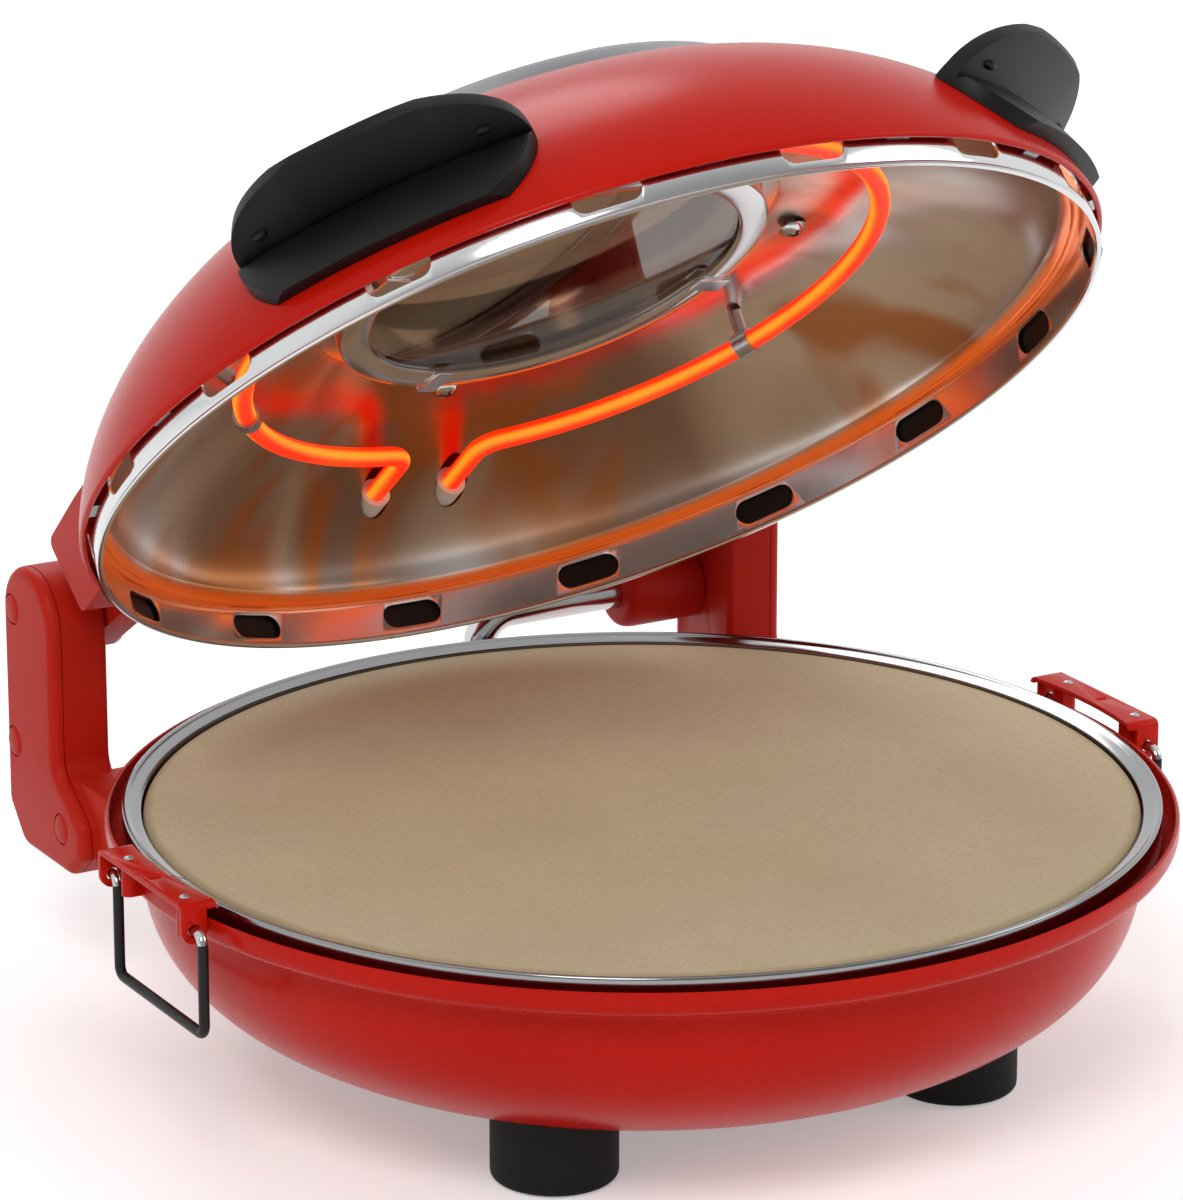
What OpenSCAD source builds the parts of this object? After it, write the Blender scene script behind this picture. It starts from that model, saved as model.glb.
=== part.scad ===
// Electric pizza maker: a round countertop oven with a hinged domed lid, a baking
// stone and a heating element above and below it. Units are millimetres.
// Everything is drawn about the bowl's axis and then set down with the origin on the
// table under the middle of the whole. +Z is up, +X is the oven's right, -Y its front,
// and the hinge is at the back. The lid stands open.

/* [Base bowl] */
// Radius of the bowl's body just under its rim
bowl_r = 155.9; // [140:0.1:172]
// Height of the bowl's bottom above the table
bowl_bottom_z = 8.5; // [7:0.5:12]
// Depth of the bowl from its bottom to the level of its widest circle
bowl_depth = 69.5; // [62:0.5:78]
// Fullness of the bowl's curve (2 is an ellipse, more is squarer)
bowl_fullness = 2.77; // [2.3:0.01:3.2]
// Thickness of the bowl's sheet
bowl_t = 1.5; // [1:0.1:2]
// How far the rim flares out past the body
rim_flare = 10.4; // [8.5:0.1:13]
// Height of the upright rim above the level of the widest circle
rim_h = 6.6; // [5.5:0.1:8.5]

/* [Feet] */
// Radius of a foot
foot_r = 19.4; // [15:0.1:22]
// Distance of each foot from the bowl's axis
foot_place_r = 100.5; // [90:0.5:108]
// Radius of the screw that holds a foot
foot_screw_r = 2.2; // [1.6:0.1:3]

/* [Stone and ring] */
// Thickness of the baking stone
stone_t = 9; // [7:0.5:9.5]
// Gap between the stone's edge and the ring
stone_gap = 0.6; // [0.4:0.1:1.5]
// Width of the ring's sloping face
ring_face_w = 5.9; // [5:0.1:6.5]
// Dark gap between the ring and the bowl's rim
ring_gap = 3.8; // [3:0.1:5]
// Height of the ring's lip above the stone
ring_lip_h = 2.1; // [1:0.1:3]
// Thickness of the ring's sheet
ring_t = 0.9; // [0.6:0.1:1.2]

/* [Heating elements] */
// Radius of the heating tube
element_r = 3.2; // [2.5:0.1:4]
// Radius of the lower element's loop
lower_loop_r = 105; // [90:1:115]
// Radius of the upper element's loop
upper_loop_r = 104; // [95:1:108]
// Distance of each lead from the middle plane
lead_x = 14; // [11:0.5:18]
// Radius of the bend between a loop and its leads
lead_bend_r = 8; // [6:0.5:11]

/* [Side brackets and bails] */
// Length of a bracket along the bowl's side
bracket_l = 57.5; // [50:0.5:64]
// How far a bracket's middle lies in front of the bowl's axis
bracket_shift = 1.85; // [0:0.05:4]
// How far a bracket stands out past the rim
bracket_out = 6.8; // [6:0.1:9]
// Thickness of a bracket's sheet
bracket_t = 1.6; // [1.2:0.1:2]
// Height of a bracket's plate above the rim
bracket_lift = 6; // [5:0.1:7]
// Radius of the bail wire
wire_r = 1.65; // [1.2:0.05:2]
// Drop of a bail from its pivot to its bottom bar
bail_drop = 31; // [24:0.5:34]

/* [Hinge arms] */
// Distance from the middle plane to an arm's inner face
arm_inner_x = 115.6; // [113:0.1:118]
// Width of an arm housing
arm_w = 16.1; // [15:0.1:20]
// Thickness of an arm housing's walls
arm_wall = 2.4; // [2:0.1:2.8]
// Thickness of an arm's outer cover
cover_t = 4.4; // [3.4:0.1:5]
// Height of the top of an arm housing
arm_top_z = 136.5; // [134:0.5:140]
// How far the hinge axis lies behind the bowl's body
hinge_out = 10.1; // [9.1:0.1:11.1]
// Height of the hinge axis above the table
hinge_z = 112; // [111:0.5:113]
// Radius of a hinge bolt
bolt_r = 4; // [3:0.1:5]
// Running clearance of a bolt in the lid arm's bore
bolt_fit = 0.05; // [0.02:0.01:0.09]
// Thickness of a lid arm's blade
blade_t = 11.6; // [8:0.1:13]
// Radius of the conduit that carries the lid's wires
conduit_r = 5.5; // [4:0.1:6]

/* [Lid] */
// Angle at which the lid stands open
lid_open = 40; // [30:1:60]
// How far the lid shell's lip reaches out past the bowl's body
lid_over = 10.1; // [8.6:0.1:12.1]
// Height of the lid shell's curve
shell_h = 82; // [76:0.5:88]
// Thickness of the lid shell
shell_t = 1.6; // [1.2:0.1:2.2]
// Gap between the closed lid's band and the rim ring
closed_gap = 1.1; // [0.8:0.1:1.5]
// Height of the steel band
band_h = 13.2; // [12:0.1:15]
// Thickness of the band and of the reflector sheet
liner_t = 1; // [0.7:0.1:1.2]
// How much of the band shows under the shell's lip
band_show = 8; // [6:0.1:9]
// Number of vent slots round the band
slot_count = 16; // [8:1:18]
// Length of a vent slot
slot_l = 21; // [14:0.5:24]
// Height of a vent slot
slot_h = 8.2; // [5:0.1:8.6]

/* [Window] */
// Outer radius of the window's bezel on the lid
bezel_r = 87; // [82:0.5:90]
// Radius of the upper window glass
glass_r = 72.2; // [70:0.1:76]
// Thickness of each window glass
glass_t = 4; // [3:0.5:5]
// Drop of the inner window ring under the reflector
retainer_drop = 11; // [8:0.5:13]

/* [Handles and knob] */
// Direction of each lid handle, in degrees from the middle plane
handle_angle = 45; // [40:1:50]
// Half of the width of a handle's outline
handle_half_w = 55.3; // [50:0.1:58]
// How far a handle's wing reaches out past the lid shell
handle_out = 8.5; // [6:0.1:11]
// Thickness of a handle's wing
wing_t = 4.2; // [3:0.1:5]
// Radius of the thermostat knob
knob_r = 15; // [11:0.5:16]

/* [Hidden] */
$fn = 96;
fine = 0.15;            // clearance between pieces of one body that sit together
far = 400;              // longer than the oven, for cuts that run right through
steps = 14;             // points along each drawn curve

// Bowl and what sits in it
hinge_y = bowl_r + hinge_out;
shell_r = bowl_r + lid_over;
handle_reach = shell_r + handle_out;
bowl_top = bowl_bottom_z + bowl_depth;       // level of the bowl's widest circle
rim_r = bowl_r + rim_flare;
rim_z = bowl_top + rim_h;
flare_z = bowl_top - 5;                      // where the flare leaves the body
pan_t = 0.8;
pan_lip_z = bowl_top - 2;
pan_floor_z = bowl_bottom_z + 38.7;
stone_z = pan_lip_z + 0.2;
stone_top = stone_z + stone_t;
ring_lip_r = rim_r - bowl_t - ring_gap;
ring_inner_r = ring_lip_r - ring_face_w;
ring_lip_z = stone_top + ring_lip_h;
ring_foot_z = bowl_top - 0.9;
stone_r = ring_inner_r - stone_gap;
stone_edge = 2;
lower_element_z = pan_floor_z + 10.8;
bushing_r = 5;

// Brackets and bails
bracket_top = rim_z + bracket_lift;
bracket_x = rim_r + bracket_out;
bracket_front = -bracket_shift - bracket_l / 2;
bracket_back = -bracket_shift + bracket_l / 2;
bracket_inner_r = rim_r - 1.9;
ear_x = rim_r + 2.7;
ear_z = rim_z - 2.4;
ear_r = 4.1;
rivet_r = 1.5;
rivet_x = rim_r + 2.3;
rivet_ys = [-23.5, 14.5];
stud_r = 2.5;
bail_front = bracket_front - 5.4;
bail_back = bracket_back - bracket_t - 3.3;
bail_tail = 1.5;                             // how far an end runs past its ear
bail_bend = 3.2;

// Hinge arms
arm_outer_x = arm_inner_x + arm_w;
arm_front = hinge_y - 25;
arm_back = hinge_y + 11.2;
blade_gap = 0.35;
blade_x1 = arm_inner_x - blade_gap;          // the lid arm runs on the housing's inner side
blade_x0 = blade_x1 - blade_t;
hub_r = 7;
lug_x0 = arm_inner_x - 11.6;
lug_z0 = bowl_top - 28;
lug_z1 = flare_z - 1.5;
arm_bottom_z = 41.5;
cap_r = 4.9;
cap_t = 1.2;
cap_places = [[hinge_y + 3.5, hinge_z + 8.7], [hinge_y + 4.4, arm_bottom_z + 34.1],
              [arm_front - 5, arm_bottom_z + 14.5]];
conduit_y = hinge_y + 3;
conduit_z = hinge_z - 20;
conduit_bend = 12;
collar_r = 12.5;
collar_l = 29;

// Control box on the back
box_half_w = 46;
conduit_x = box_half_w - 12;
box_back = hinge_y + 12;
box_wall = 2.4;
box_z0 = bowl_top - 42;
box_z1 = flare_z - 2;
knob_x = 24;
knob_z = (box_z0 + box_z1) / 2;
knob_gap = 1.2;
knob_l = 14;
knob_ridge = 0.8;                            // how far the pointer stands off the knob
middle_y = (box_back + knob_gap + knob_l + knob_ridge - rim_r) / 2;
shaft_r = 3;
thermostat_y0 = box_back - box_wall - 16;

// Lid, drawn closed
band_z = ring_lip_z + closed_gap;
band_top = band_z + band_h;
band_r = shell_r - 3.7;
lip_z = band_z + band_show;
shell_z = band_z + 5.6;                      // where the shell's curve starts
shell_m = 2.9;                               // exponents of the shell's curve
shell_n = 1.5;
liner_r = band_r - 7;
liner_z = band_top + 2.9;
liner_h = shell_h - 34;
liner_flat_r = glass_r + 6;
liner_flat_z = liner_z + liner_h * pow(1 - pow(liner_flat_r / liner_r, shell_m), 1 / shell_n);
liner_hole_r = glass_r - 5.7;
upper_element_z = liner_flat_z - 19.5;
// Radius of the reflector's inner face at the height of the tube's leads
lead_wall_r = (liner_r - liner_t) * pow(1 - pow((upper_element_z - liner_z) / (liner_h - liner_t), shell_n), 1 / shell_m);
lead_end = lead_wall_r + 7.4;
bezel_lift = 6;
bezel_z = shell_top_z(bezel_r);
glass_z = shell_top_z(glass_r) - 2.6;
retainer_r = glass_r - 2;
retainer_z = liner_flat_z - liner_t - retainer_drop;
inner_glass_r = retainer_r - 1.6;
lid_screw_place_r = bezel_r + 2;
lid_screw_r = 2;
handle_pivot_r = handle_reach - handle_half_w;
handle_span = 22;
wing_root = [shell_r - 13, shell_z + 34];
wing_tip = [handle_reach, shell_z + 45];
handle_screw_z = shell_z + 22;
handle_screw_turn = 7;

// Outline of the shell's curve: height for a radius, and points between two turns
function shell_top_z(r) = shell_z + shell_h * pow(1 - pow(r / shell_r, shell_m), 1 / shell_n);
function shell_inner_r(z) = (shell_r - shell_t) * pow(1 - pow((z - shell_z) / (shell_h - shell_t), shell_n), 1 / shell_m);
function turn_at_r(r, R) = asin(pow(min(1, r / R), shell_m / 2));
function turn_at_z(z, H) = acos(pow(max(0, z - shell_z) / H, shell_n / 2));
function dome(R, H, z0, t0, t1) = [
    for (i = [0:steps]) let (t = t0 + (t1 - t0) * i / steps)
        [R * pow(sin(t), 2 / shell_m), z0 + H * pow(cos(t), 2 / shell_n)]
];
// Outline of the bowl's body, from its bottom out and up to the flare
function bowl_turn(z, depth) = asin(pow((bowl_top - z) / depth, bowl_fullness / 2));
function bowl_curve(R, depth) = [
    for (i = [0:steps]) let (t0 = 90, t1 = bowl_turn(flare_z, depth), t = t0 + (t1 - t0) * i / steps)
        [R * pow(cos(t), 2 / bowl_fullness), bowl_top - depth * pow(sin(t), 2 / bowl_fullness)]
];
// A polygon's corners, each rounded by its own radius
function unit(v) = v / norm(v);
function corner(p, q, s, r) =
    let (u = unit(p - q), v = unit(s - q), a = acos(u * v), c = q + unit(u + v) * r / sin(a / 2),
         e = q + u * r / tan(a / 2) - c, g = q + v * r / tan(a / 2) - c, w = 180 - a, n = 5)
    [for (i = [0:n]) c + (e * sin(w * (1 - i / n)) + g * sin(w * i / n)) / sin(w)];
function rounded(points, radii) =
    let (n = len(points))
    [for (i = [0:n - 1]) each corner(points[(i + n - 1) % n], points[i], points[(i + 1) % n], radii[i])];

module revolve(points, from = 0, to = 360)
    rotate([0, 0, from]) rotate_extrude(angle = to - from) polygon(points);
module along_x(x0, x1) translate([x0, 0, 0]) rotate([90, 0, 90]) linear_extrude(x1 - x0) children();
module along_y(y0, y1) translate([0, y0, 0]) rotate([-90, 0, 0]) linear_extrude(y1 - y0) mirror([0, 1, 0]) children();
module rod_x(x0, x1, y, z, r) along_x(x0, x1) translate([y, z]) circle(r);
module rod_y(y0, y1, x, z, r) along_y(y0, y1) translate([x, z]) circle(r);
module torus(R, r, from, to) rotate([0, 0, from]) rotate_extrude(angle = to - from) translate([R, 0]) circle(r, $fn = 32);
module on_side(s) mirror([s < 0 ? 1 : 0, 0, 0]) children();
module both_sides() for (s = [-1, 1]) on_side(s) children();
module in_lid() translate([0, hinge_y, hinge_z]) rotate([-lid_open, 0, 0])
    translate([0, -hinge_y, -hinge_z]) children();

// The bowl's outside as a solid, grown a little, to cut pieces that sit against it
module bowl_space(grow) translate([0, 0, 0]) revolve(concat([[0, bowl_bottom_z - grow]],
    [for (p = bowl_curve(bowl_r + grow, bowl_depth + grow)) if (p[0] > 1) p],
    [[rim_r + grow, bowl_top - 1], [rim_r + grow, rim_z], [0, rim_z]]));

// The shell's outside as a solid, grown a little
module shell_space(grow) revolve(concat([[0, shell_z - 30]], [[shell_r + grow, shell_z - 30]],
    [for (p = dome(shell_r + grow, shell_h + grow, shell_z, 90, 2)) p], [[0, shell_z + shell_h + grow]]));

// Bosses on the rim that the brackets are riveted down to
module rim_bosses() both_sides() for (y = rivet_ys) difference() {
    union() {
        translate([rivet_x, y, boss_z]) cylinder(r = stud_r, h = bracket_top - bracket_t - boss_z);
        translate([rivet_x - 12, y - stud_r, boss_z]) cube([12, 2 * stud_r, bracket_top - bracket_t - boss_z]);
    }
    translate([0, 0, boss_z - 1]) cylinder(r = rim_r - bowl_t / 2, h = 20);
}
boss_z = bowl_top + 1;

module base_bowl() color("#B4201A") difference() {
    union() {
        revolve(concat(
            bowl_curve(bowl_r, bowl_depth),
            [[bowl_r + 4, flare_z + 1.2], [rim_r - 2.6, bowl_top - 2], [rim_r - 0.5, bowl_top + 0.2],
             [rim_r, bowl_top + 2.3], [rim_r, rim_z - 0.4], [rim_r - 0.4, rim_z],
             [rim_r - bowl_t + 0.4, rim_z], [rim_r - bowl_t, rim_z - 0.4],
             [rim_r - bowl_t, bowl_top + 2.5], [rim_r - bowl_t - 0.4, bowl_top + 1.2],
             [rim_r - bowl_t - 2.2, bowl_top - 0.6], [bowl_r + 3.3, flare_z + 2.6]],
            [for (i = [steps:-1:0]) bowl_curve(bowl_r - bowl_t, bowl_depth - bowl_t)[i]]));
        rim_bosses();
    }
    for (a = [45:90:315]) rotate([0, 0, a]) translate([foot_place_r, 0, 0])
        cylinder(r = foot_screw_r + 0.2, h = bowl_top);
    for (s = [-1, 1]) rod_y(bowl_r - 20, bowl_r + 6, s * lead_x, lower_element_z, bushing_r + fine);
    for (s = [-1, 1], y = rivet_ys) translate([s * rivet_x, y, bowl_top + 1])
        cylinder(r = rivet_r + 0.05, h = far);
}

pan_outer = [[bowl_r + 0.6, pan_lip_z], [bowl_r + 0.6, pan_lip_z - pan_t],
    [bowl_r - 3.3, pan_lip_z - pan_t], [bowl_r - 3.9, bowl_top - 8], [bowl_r - 9.9, bowl_top - 22],
    [bowl_r - 18, pan_floor_z + 2.2], [bowl_r - 30, pan_floor_z], [0, pan_floor_z]];
pan_inner = [[0, pan_floor_z + pan_t], [bowl_r - 30, pan_floor_z + pan_t],
    [bowl_r - 18.4, pan_floor_z + 3], [bowl_r - 10.6, bowl_top - 21.6], [bowl_r - 4.7, bowl_top - 8],
    [bowl_r - 4.1, pan_lip_z]];

module base_pan() color("#C9CBCD") difference() {
    revolve(concat(pan_outer, pan_inner));
    for (s = [-1, 1]) rod_y(bowl_r - 30, bowl_r + 6, s * lead_x, lower_element_z, bushing_r + fine);
}

module pizza_stone() color("#CBBB9B") revolve([[0, stone_z], [stone_r - 0.8, stone_z],
    [stone_r, stone_z + 0.8], [stone_r, stone_top - stone_edge], [stone_r - 0.6, stone_top - 0.7],
    [stone_r - stone_edge, stone_top], [0, stone_top]]);

module rim_ring() color("#D8DADC") difference() {
    revolve([[ring_lip_r - ring_t, ring_foot_z], [ring_lip_r, ring_foot_z],
        [ring_lip_r, ring_lip_z - 0.8], [ring_lip_r - 0.4, ring_lip_z - 0.1],
        [ring_lip_r - 1.2, ring_lip_z], [ring_inner_r, stone_top + 0.1],
        [ring_inner_r, stone_top - 1.7], [ring_inner_r + ring_t, stone_top - 1.7],
        [ring_inner_r + ring_t, stone_top - 0.5], [ring_lip_r - ring_t - 0.4, ring_lip_z - 1],
        [ring_lip_r - ring_t, ring_lip_z - 1.4]]);
    translate([-ring_lip_r - 1, 2, stone_z]) cube([ring_face_w + 4, 0.8, 2 * stone_t]);
}

// A round loop of heating tube whose two ends bend out into leads along +Y, with a
// short sleeve where each bend begins
module element(loop_r, lead_end) {
    bend_x = lead_x + lead_bend_r;
    bend_y = sqrt(pow(loop_r + lead_bend_r, 2) - pow(bend_x, 2));
    turn = atan2(bend_y, bend_x);
    torus(loop_r, element_r, 180 - turn, 360 + turn);
    both_sides() {
        rotate([0, 0, turn]) translate([loop_r, 0, 0]) rotate([90, 0, 0])
            cylinder(r = element_r + 0.3, h = 5, center = true);
        translate([bend_x, bend_y, 0]) torus(lead_bend_r, element_r, 180, 180 + turn);
        translate([lead_x, bend_y, 0]) rotate([-90, 0, 0]) cylinder(r = element_r, h = lead_end - bend_y);
    }
}

module lower_element() color("#E05010")
    translate([0, 0, lower_element_z]) element(lower_loop_r, bowl_r + 1.6);

// Posts that carry a loop: a collar round the tube, and a post to the sheet
module element_clips(loop_r, post_from, post_to, turns) for (a = turns) rotate([0, 0, a])
    translate([loop_r, 0, 0]) difference() {
        union() {
            rotate([90, 0, 0]) cylinder(r = element_r + 1.1, h = 6, center = true);
            translate([0, 0, post_from]) cylinder(r = 2.2, h = post_to - post_from);
        }
        rotate([90, 0, 0]) cylinder(r = element_r + 0.1, h = 8, center = true);
    }

module lower_element_clips() color("#B8BABC") translate([0, 0, lower_element_z])
    element_clips(lower_loop_r, pan_floor_z + pan_t + fine - lower_element_z, -element_r - 0.5, [30, 150, 270]);

module bushings(z, y0, y1) for (s = [-1, 1]) difference() {
    rod_y(y0, y1, s * lead_x, z, bushing_r);
    rod_y(y0 - 1, y1 + 1, s * lead_x, z, element_r + 0.05);
}
module lead_bushings() color("#E8E4DA") bushings(lower_element_z, bowl_r - 11, bowl_r + 1);

module foot_places() for (a = [45:90:315]) rotate([0, 0, a]) translate([foot_place_r, 0, 0]) children();

module feet() color("#1C1C1D") difference() {
    foot_places() difference() {
        revolve([[0, 0], [foot_r - 1.8, 0], [foot_r - 0.5, 0.5], [foot_r, 1.8], [foot_r, bowl_top / 2], [0, bowl_top / 2]]);
        translate([0, 0, -1]) cylinder(r = foot_screw_r * 2.6, h = 6);
        cylinder(r = foot_screw_r + 0.2, h = bowl_top);
    }
    bowl_space(fine);
}

module foot_screws() color("#A9ABAD") foot_places() {
    translate([0, 0, 2.2]) cylinder(r = foot_screw_r * 2.2, h = 2.7);
    translate([0, 0, 4.5]) cylinder(r = foot_screw_r, h = bowl_bottom_z + 12);
}

// Side bracket: a plate over the rim with an ear turned down at each end
module bracket() difference() {
    union() {
        difference() {
            translate([bracket_inner_r - 8, bracket_front, bracket_top - bracket_t])
                cube([bracket_x - bracket_inner_r + 8, bracket_l, bracket_t]);
            translate([0, 0, bracket_top - 2 * bracket_t]) cylinder(r = bracket_inner_r, h = 4 * bracket_t);
        }
        for (y = [bracket_front, bracket_back - bracket_t]) {
            rod_y(y, y + bracket_t, ear_x, ear_z, ear_r);
            translate([ear_x - ear_r, y, ear_z]) cube([2 * ear_r, bracket_t, bracket_top - ear_z - 0.2]);
        }
    }
    rod_y(bracket_front - 1, bracket_back + 1, ear_x, ear_z, wire_r + 0.35);
    for (y = rivet_ys) translate([rivet_x, y, 0]) cylinder(r = rivet_r + 0.05, h = far);
    translate([rivet_x, -bracket_shift - 3, bracket_top + 1.2]) sphere(r = 2);
}
module bracket_left() color("#A81C16") on_side(-1) bracket();
module bracket_right() color("#A81C16") bracket();

module bracket_rivets() color("#B8B9BB") for (s = [-1, 1], y = rivet_ys) translate([s * rivet_x, y, 0]) {
    translate([0, 0, bracket_top]) revolve([[0, 0], [2.6, 0], [2.2, 0.6], [1.2, 1], [0, 1.1]]);
    translate([0, 0, bowl_top + 2]) cylinder(r = rivet_r, h = bracket_top - bowl_top - 1.9);
}

// Side view of an arm housing and its cover, as [y, z] corners
function arm_outline(inset) = rounded([
    [arm_back - inset, arm_top_z - inset], [arm_back - inset, arm_bottom_z + 12.5],
    [arm_back - 11.2, arm_bottom_z + inset], [arm_front - 10, arm_bottom_z + inset],
    [arm_front - 20 + inset, arm_bottom_z + 8.5], [arm_front - 19 + inset, arm_bottom_z + 18.5 - inset / 2],
    [arm_front + inset, arm_bottom_z + 32.5], [arm_front + inset, arm_top_z - inset]],
    [16 - inset, 6, 8, 6, 5, 6, 8, 18 - inset]);

module arm_housing() difference() {
    union() {
        along_x(arm_inner_x, arm_outer_x) polygon(arm_outline(0));
        translate([lug_x0, bowl_r / 2, lug_z0]) cube([arm_outer_x - lug_x0 - 2, arm_front + 1 - bowl_r / 2, lug_z1 - lug_z0]);
    }
    along_x(arm_inner_x + arm_wall, arm_outer_x + 1) polygon(arm_outline(arm_wall));
    rod_x(arm_inner_x - 1, arm_inner_x + arm_wall + 1, hinge_y, hinge_z, bolt_r + 0.03);
    bowl_space(fine);
}
module arm_housing_left() color("#B02A22") on_side(-1) arm_housing();
module arm_housing_right() color("#B02A22") difference() {
    arm_housing();
    rod_x(arm_inner_x - 1, arm_inner_x + arm_wall + 1, conduit_y, conduit_z, conduit_r + 0.1);
}

// The cover closes the housing from outside; its rim falls back in two soft steps
module arm_cover() {
    along_x(arm_outer_x + 0.1, arm_outer_x + cover_t - 2.4) polygon(arm_outline(0));
    along_x(arm_outer_x + cover_t - 2.5, arm_outer_x + cover_t - 0.9) polygon(arm_outline(0.6));
    along_x(arm_outer_x + cover_t - 1, arm_outer_x + cover_t) polygon(arm_outline(1.7));
}
module arm_cover_left() color("#B8382C") on_side(-1) arm_cover();
module arm_cover_right() color("#B8382C") arm_cover();

module arm_caps() color("#B8382C") both_sides() for (p = cap_places)
    translate([arm_outer_x + cover_t, p[0], p[1]]) rotate([0, 90, 0])
        revolve([[0, 0], [cap_r, 0], [cap_r, cap_t - 0.5], [cap_r - 0.5, cap_t], [0, cap_t + 0.2]]);

// The bolt's dome head is on the inner side; its shank crosses the lid arm and the housing's wall
module hinge_bolt() {
    rod_x(blade_x0 - blade_gap - 0.1, arm_outer_x - 0.1, hinge_y, hinge_z, bolt_r);
    translate([blade_x0 - blade_gap, hinge_y, hinge_z]) rotate([0, -90, 0])
        revolve([[0, 0], [bolt_r + 3, 0], [bolt_r + 2.6, 1.6], [bolt_r + 0.5, 2.9], [0, 3.2]]);
}
module hinge_bolt_left() color("#C4C6C8") on_side(-1) hinge_bolt();
module hinge_bolt_right() color("#C4C6C8") hinge_bolt();

// Bright conduit from the right arm to the top of the control box
module wiring_conduit() color("#D4D6D8") {
    rod_x(conduit_x + conduit_bend, arm_inner_x + arm_wall - 0.4, conduit_y, conduit_z, conduit_r);
    rod_x(conduit_x + conduit_bend - 2, conduit_x + conduit_bend + 2, conduit_y, conduit_z, conduit_r + 0.4);
    translate([conduit_x + conduit_bend, conduit_y, conduit_z - conduit_bend]) rotate([90, 0, 0])
        torus(conduit_bend, conduit_r, 90, 180);
    translate([conduit_x, conduit_y, conduit_z - conduit_bend - 2]) cylinder(r = conduit_r + 0.4, h = 4);
    translate([conduit_x, conduit_y, box_z1 - 5]) cylinder(r = conduit_r, h = conduit_z - conduit_bend - box_z1 + 5);
}

module conduit_collar() color("#8E1712") translate([arm_inner_x, conduit_y, conduit_z])
    rotate([0, -90, 0]) revolve([[conduit_r + 0.1, 0.1], [collar_r, 0.1], [collar_r, collar_l - 5],
        [collar_r - 1.2, collar_l - 1.8], [collar_r - 4, collar_l], [conduit_r + 0.1, collar_l]]);

// Control box behind the bowl
function box_outline(inset) = rounded([[-box_half_w + inset, box_z0 + inset], [box_half_w - inset, box_z0 + inset],
    [box_half_w - inset, box_z1 - inset], [-box_half_w + inset, box_z1 - inset]], [6, 6, 6, 6] - inset * [1, 1, 1, 1]);

module control_box() color("#B02A22") difference() {
    along_y(bowl_r - 30, box_back) polygon(box_outline(0));
    along_y(bowl_r - 40, box_back - box_wall) polygon(box_outline(box_wall));
    rod_y(box_back - 5, box_back + 5, knob_x, knob_z, shaft_r + 0.4);
    rod_y(box_back - 5, box_back + 5, 0, knob_z + 6, 3.6);
    rod_y(box_back - 5, box_back + 5, -knob_x, knob_z, 6.1);
    translate([conduit_x, conduit_y, box_z1 - 5]) cylinder(r = conduit_r + 0.1, h = 10);
    bowl_space(fine);
}

module thermostat() color("#D9D2C0") difference() {
    union() {
        translate([knob_x - 13, thermostat_y0, knob_z - 10]) cube([26, 11, 20]);
        rod_y(thermostat_y0 + 10, box_back - box_wall - 0.1, knob_x, knob_z, shaft_r + 3);
    }
    rod_y(thermostat_y0 + 4, box_back, knob_x, knob_z, shaft_r + 0.05);
}

module terminal_block() color("#EDE8DC") difference() {
    translate([-knob_x - 13, box_back - 26, box_z0 + box_wall]) cube([24, 14, 9]);
    for (x = [-knob_x - 8, -knob_x - 1, -knob_x + 6], y = [box_back - 22, box_back - 16])
        translate([x, y, box_z0 + box_wall + 2]) cylinder(r = 1.8, h = 8);
}

module pilot_lamp() color("#FF7A20") translate([0, box_back, knob_z + 6]) rotate([-90, 0, 0]) {
    translate([0, 0, -8]) cylinder(r = 3.5, h = 8);
    revolve([[0, 0], [5, 0], [4.6, 1.4], [3, 2.4], [0, 2.8]]);
}

module cord_gland() color("#1C1C1D") difference() {
    union() {
        rod_y(box_back - box_wall - 3, box_back, -knob_x, knob_z, 6);
        translate([-knob_x, box_back, knob_z]) rotate([-90, 0, 0])
            revolve([[0, 0], [8.5, 0], [8.5, 2.5], [7.6, 4], [5.6, 8], [0, 8]]);
    }
    rod_y(box_back - 10, box_back + 10, -knob_x, knob_z, 3.4);
}

// The knob: a skirted cap with finger ribs and a pointer ridge, and its stub shaft
module thermostat_knob() color("#202022") translate([knob_x, box_back + knob_gap, knob_z]) rotate([-90, 0, 0]) {
    difference() {
        revolve([[0, 0], [knob_r, 0], [knob_r, 3], [knob_r - 1.2, 4], [knob_r - 2.4, knob_l - 1.5],
            [knob_r - 4, knob_l], [0, knob_l]]);
        for (a = [0:30:330]) rotate([0, 0, a]) translate([knob_r - 0.6, 0, 4]) cylinder(r = 1.6, h = knob_l);
    }
    translate([-1, -knob_r + 4, knob_l - 0.2]) cube([2, knob_r - 5, knob_ridge + 0.2]);
    translate([0, 0, -knob_gap - box_wall - 7]) cylinder(r = shaft_r, h = knob_gap + box_wall + 8);
}

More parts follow.
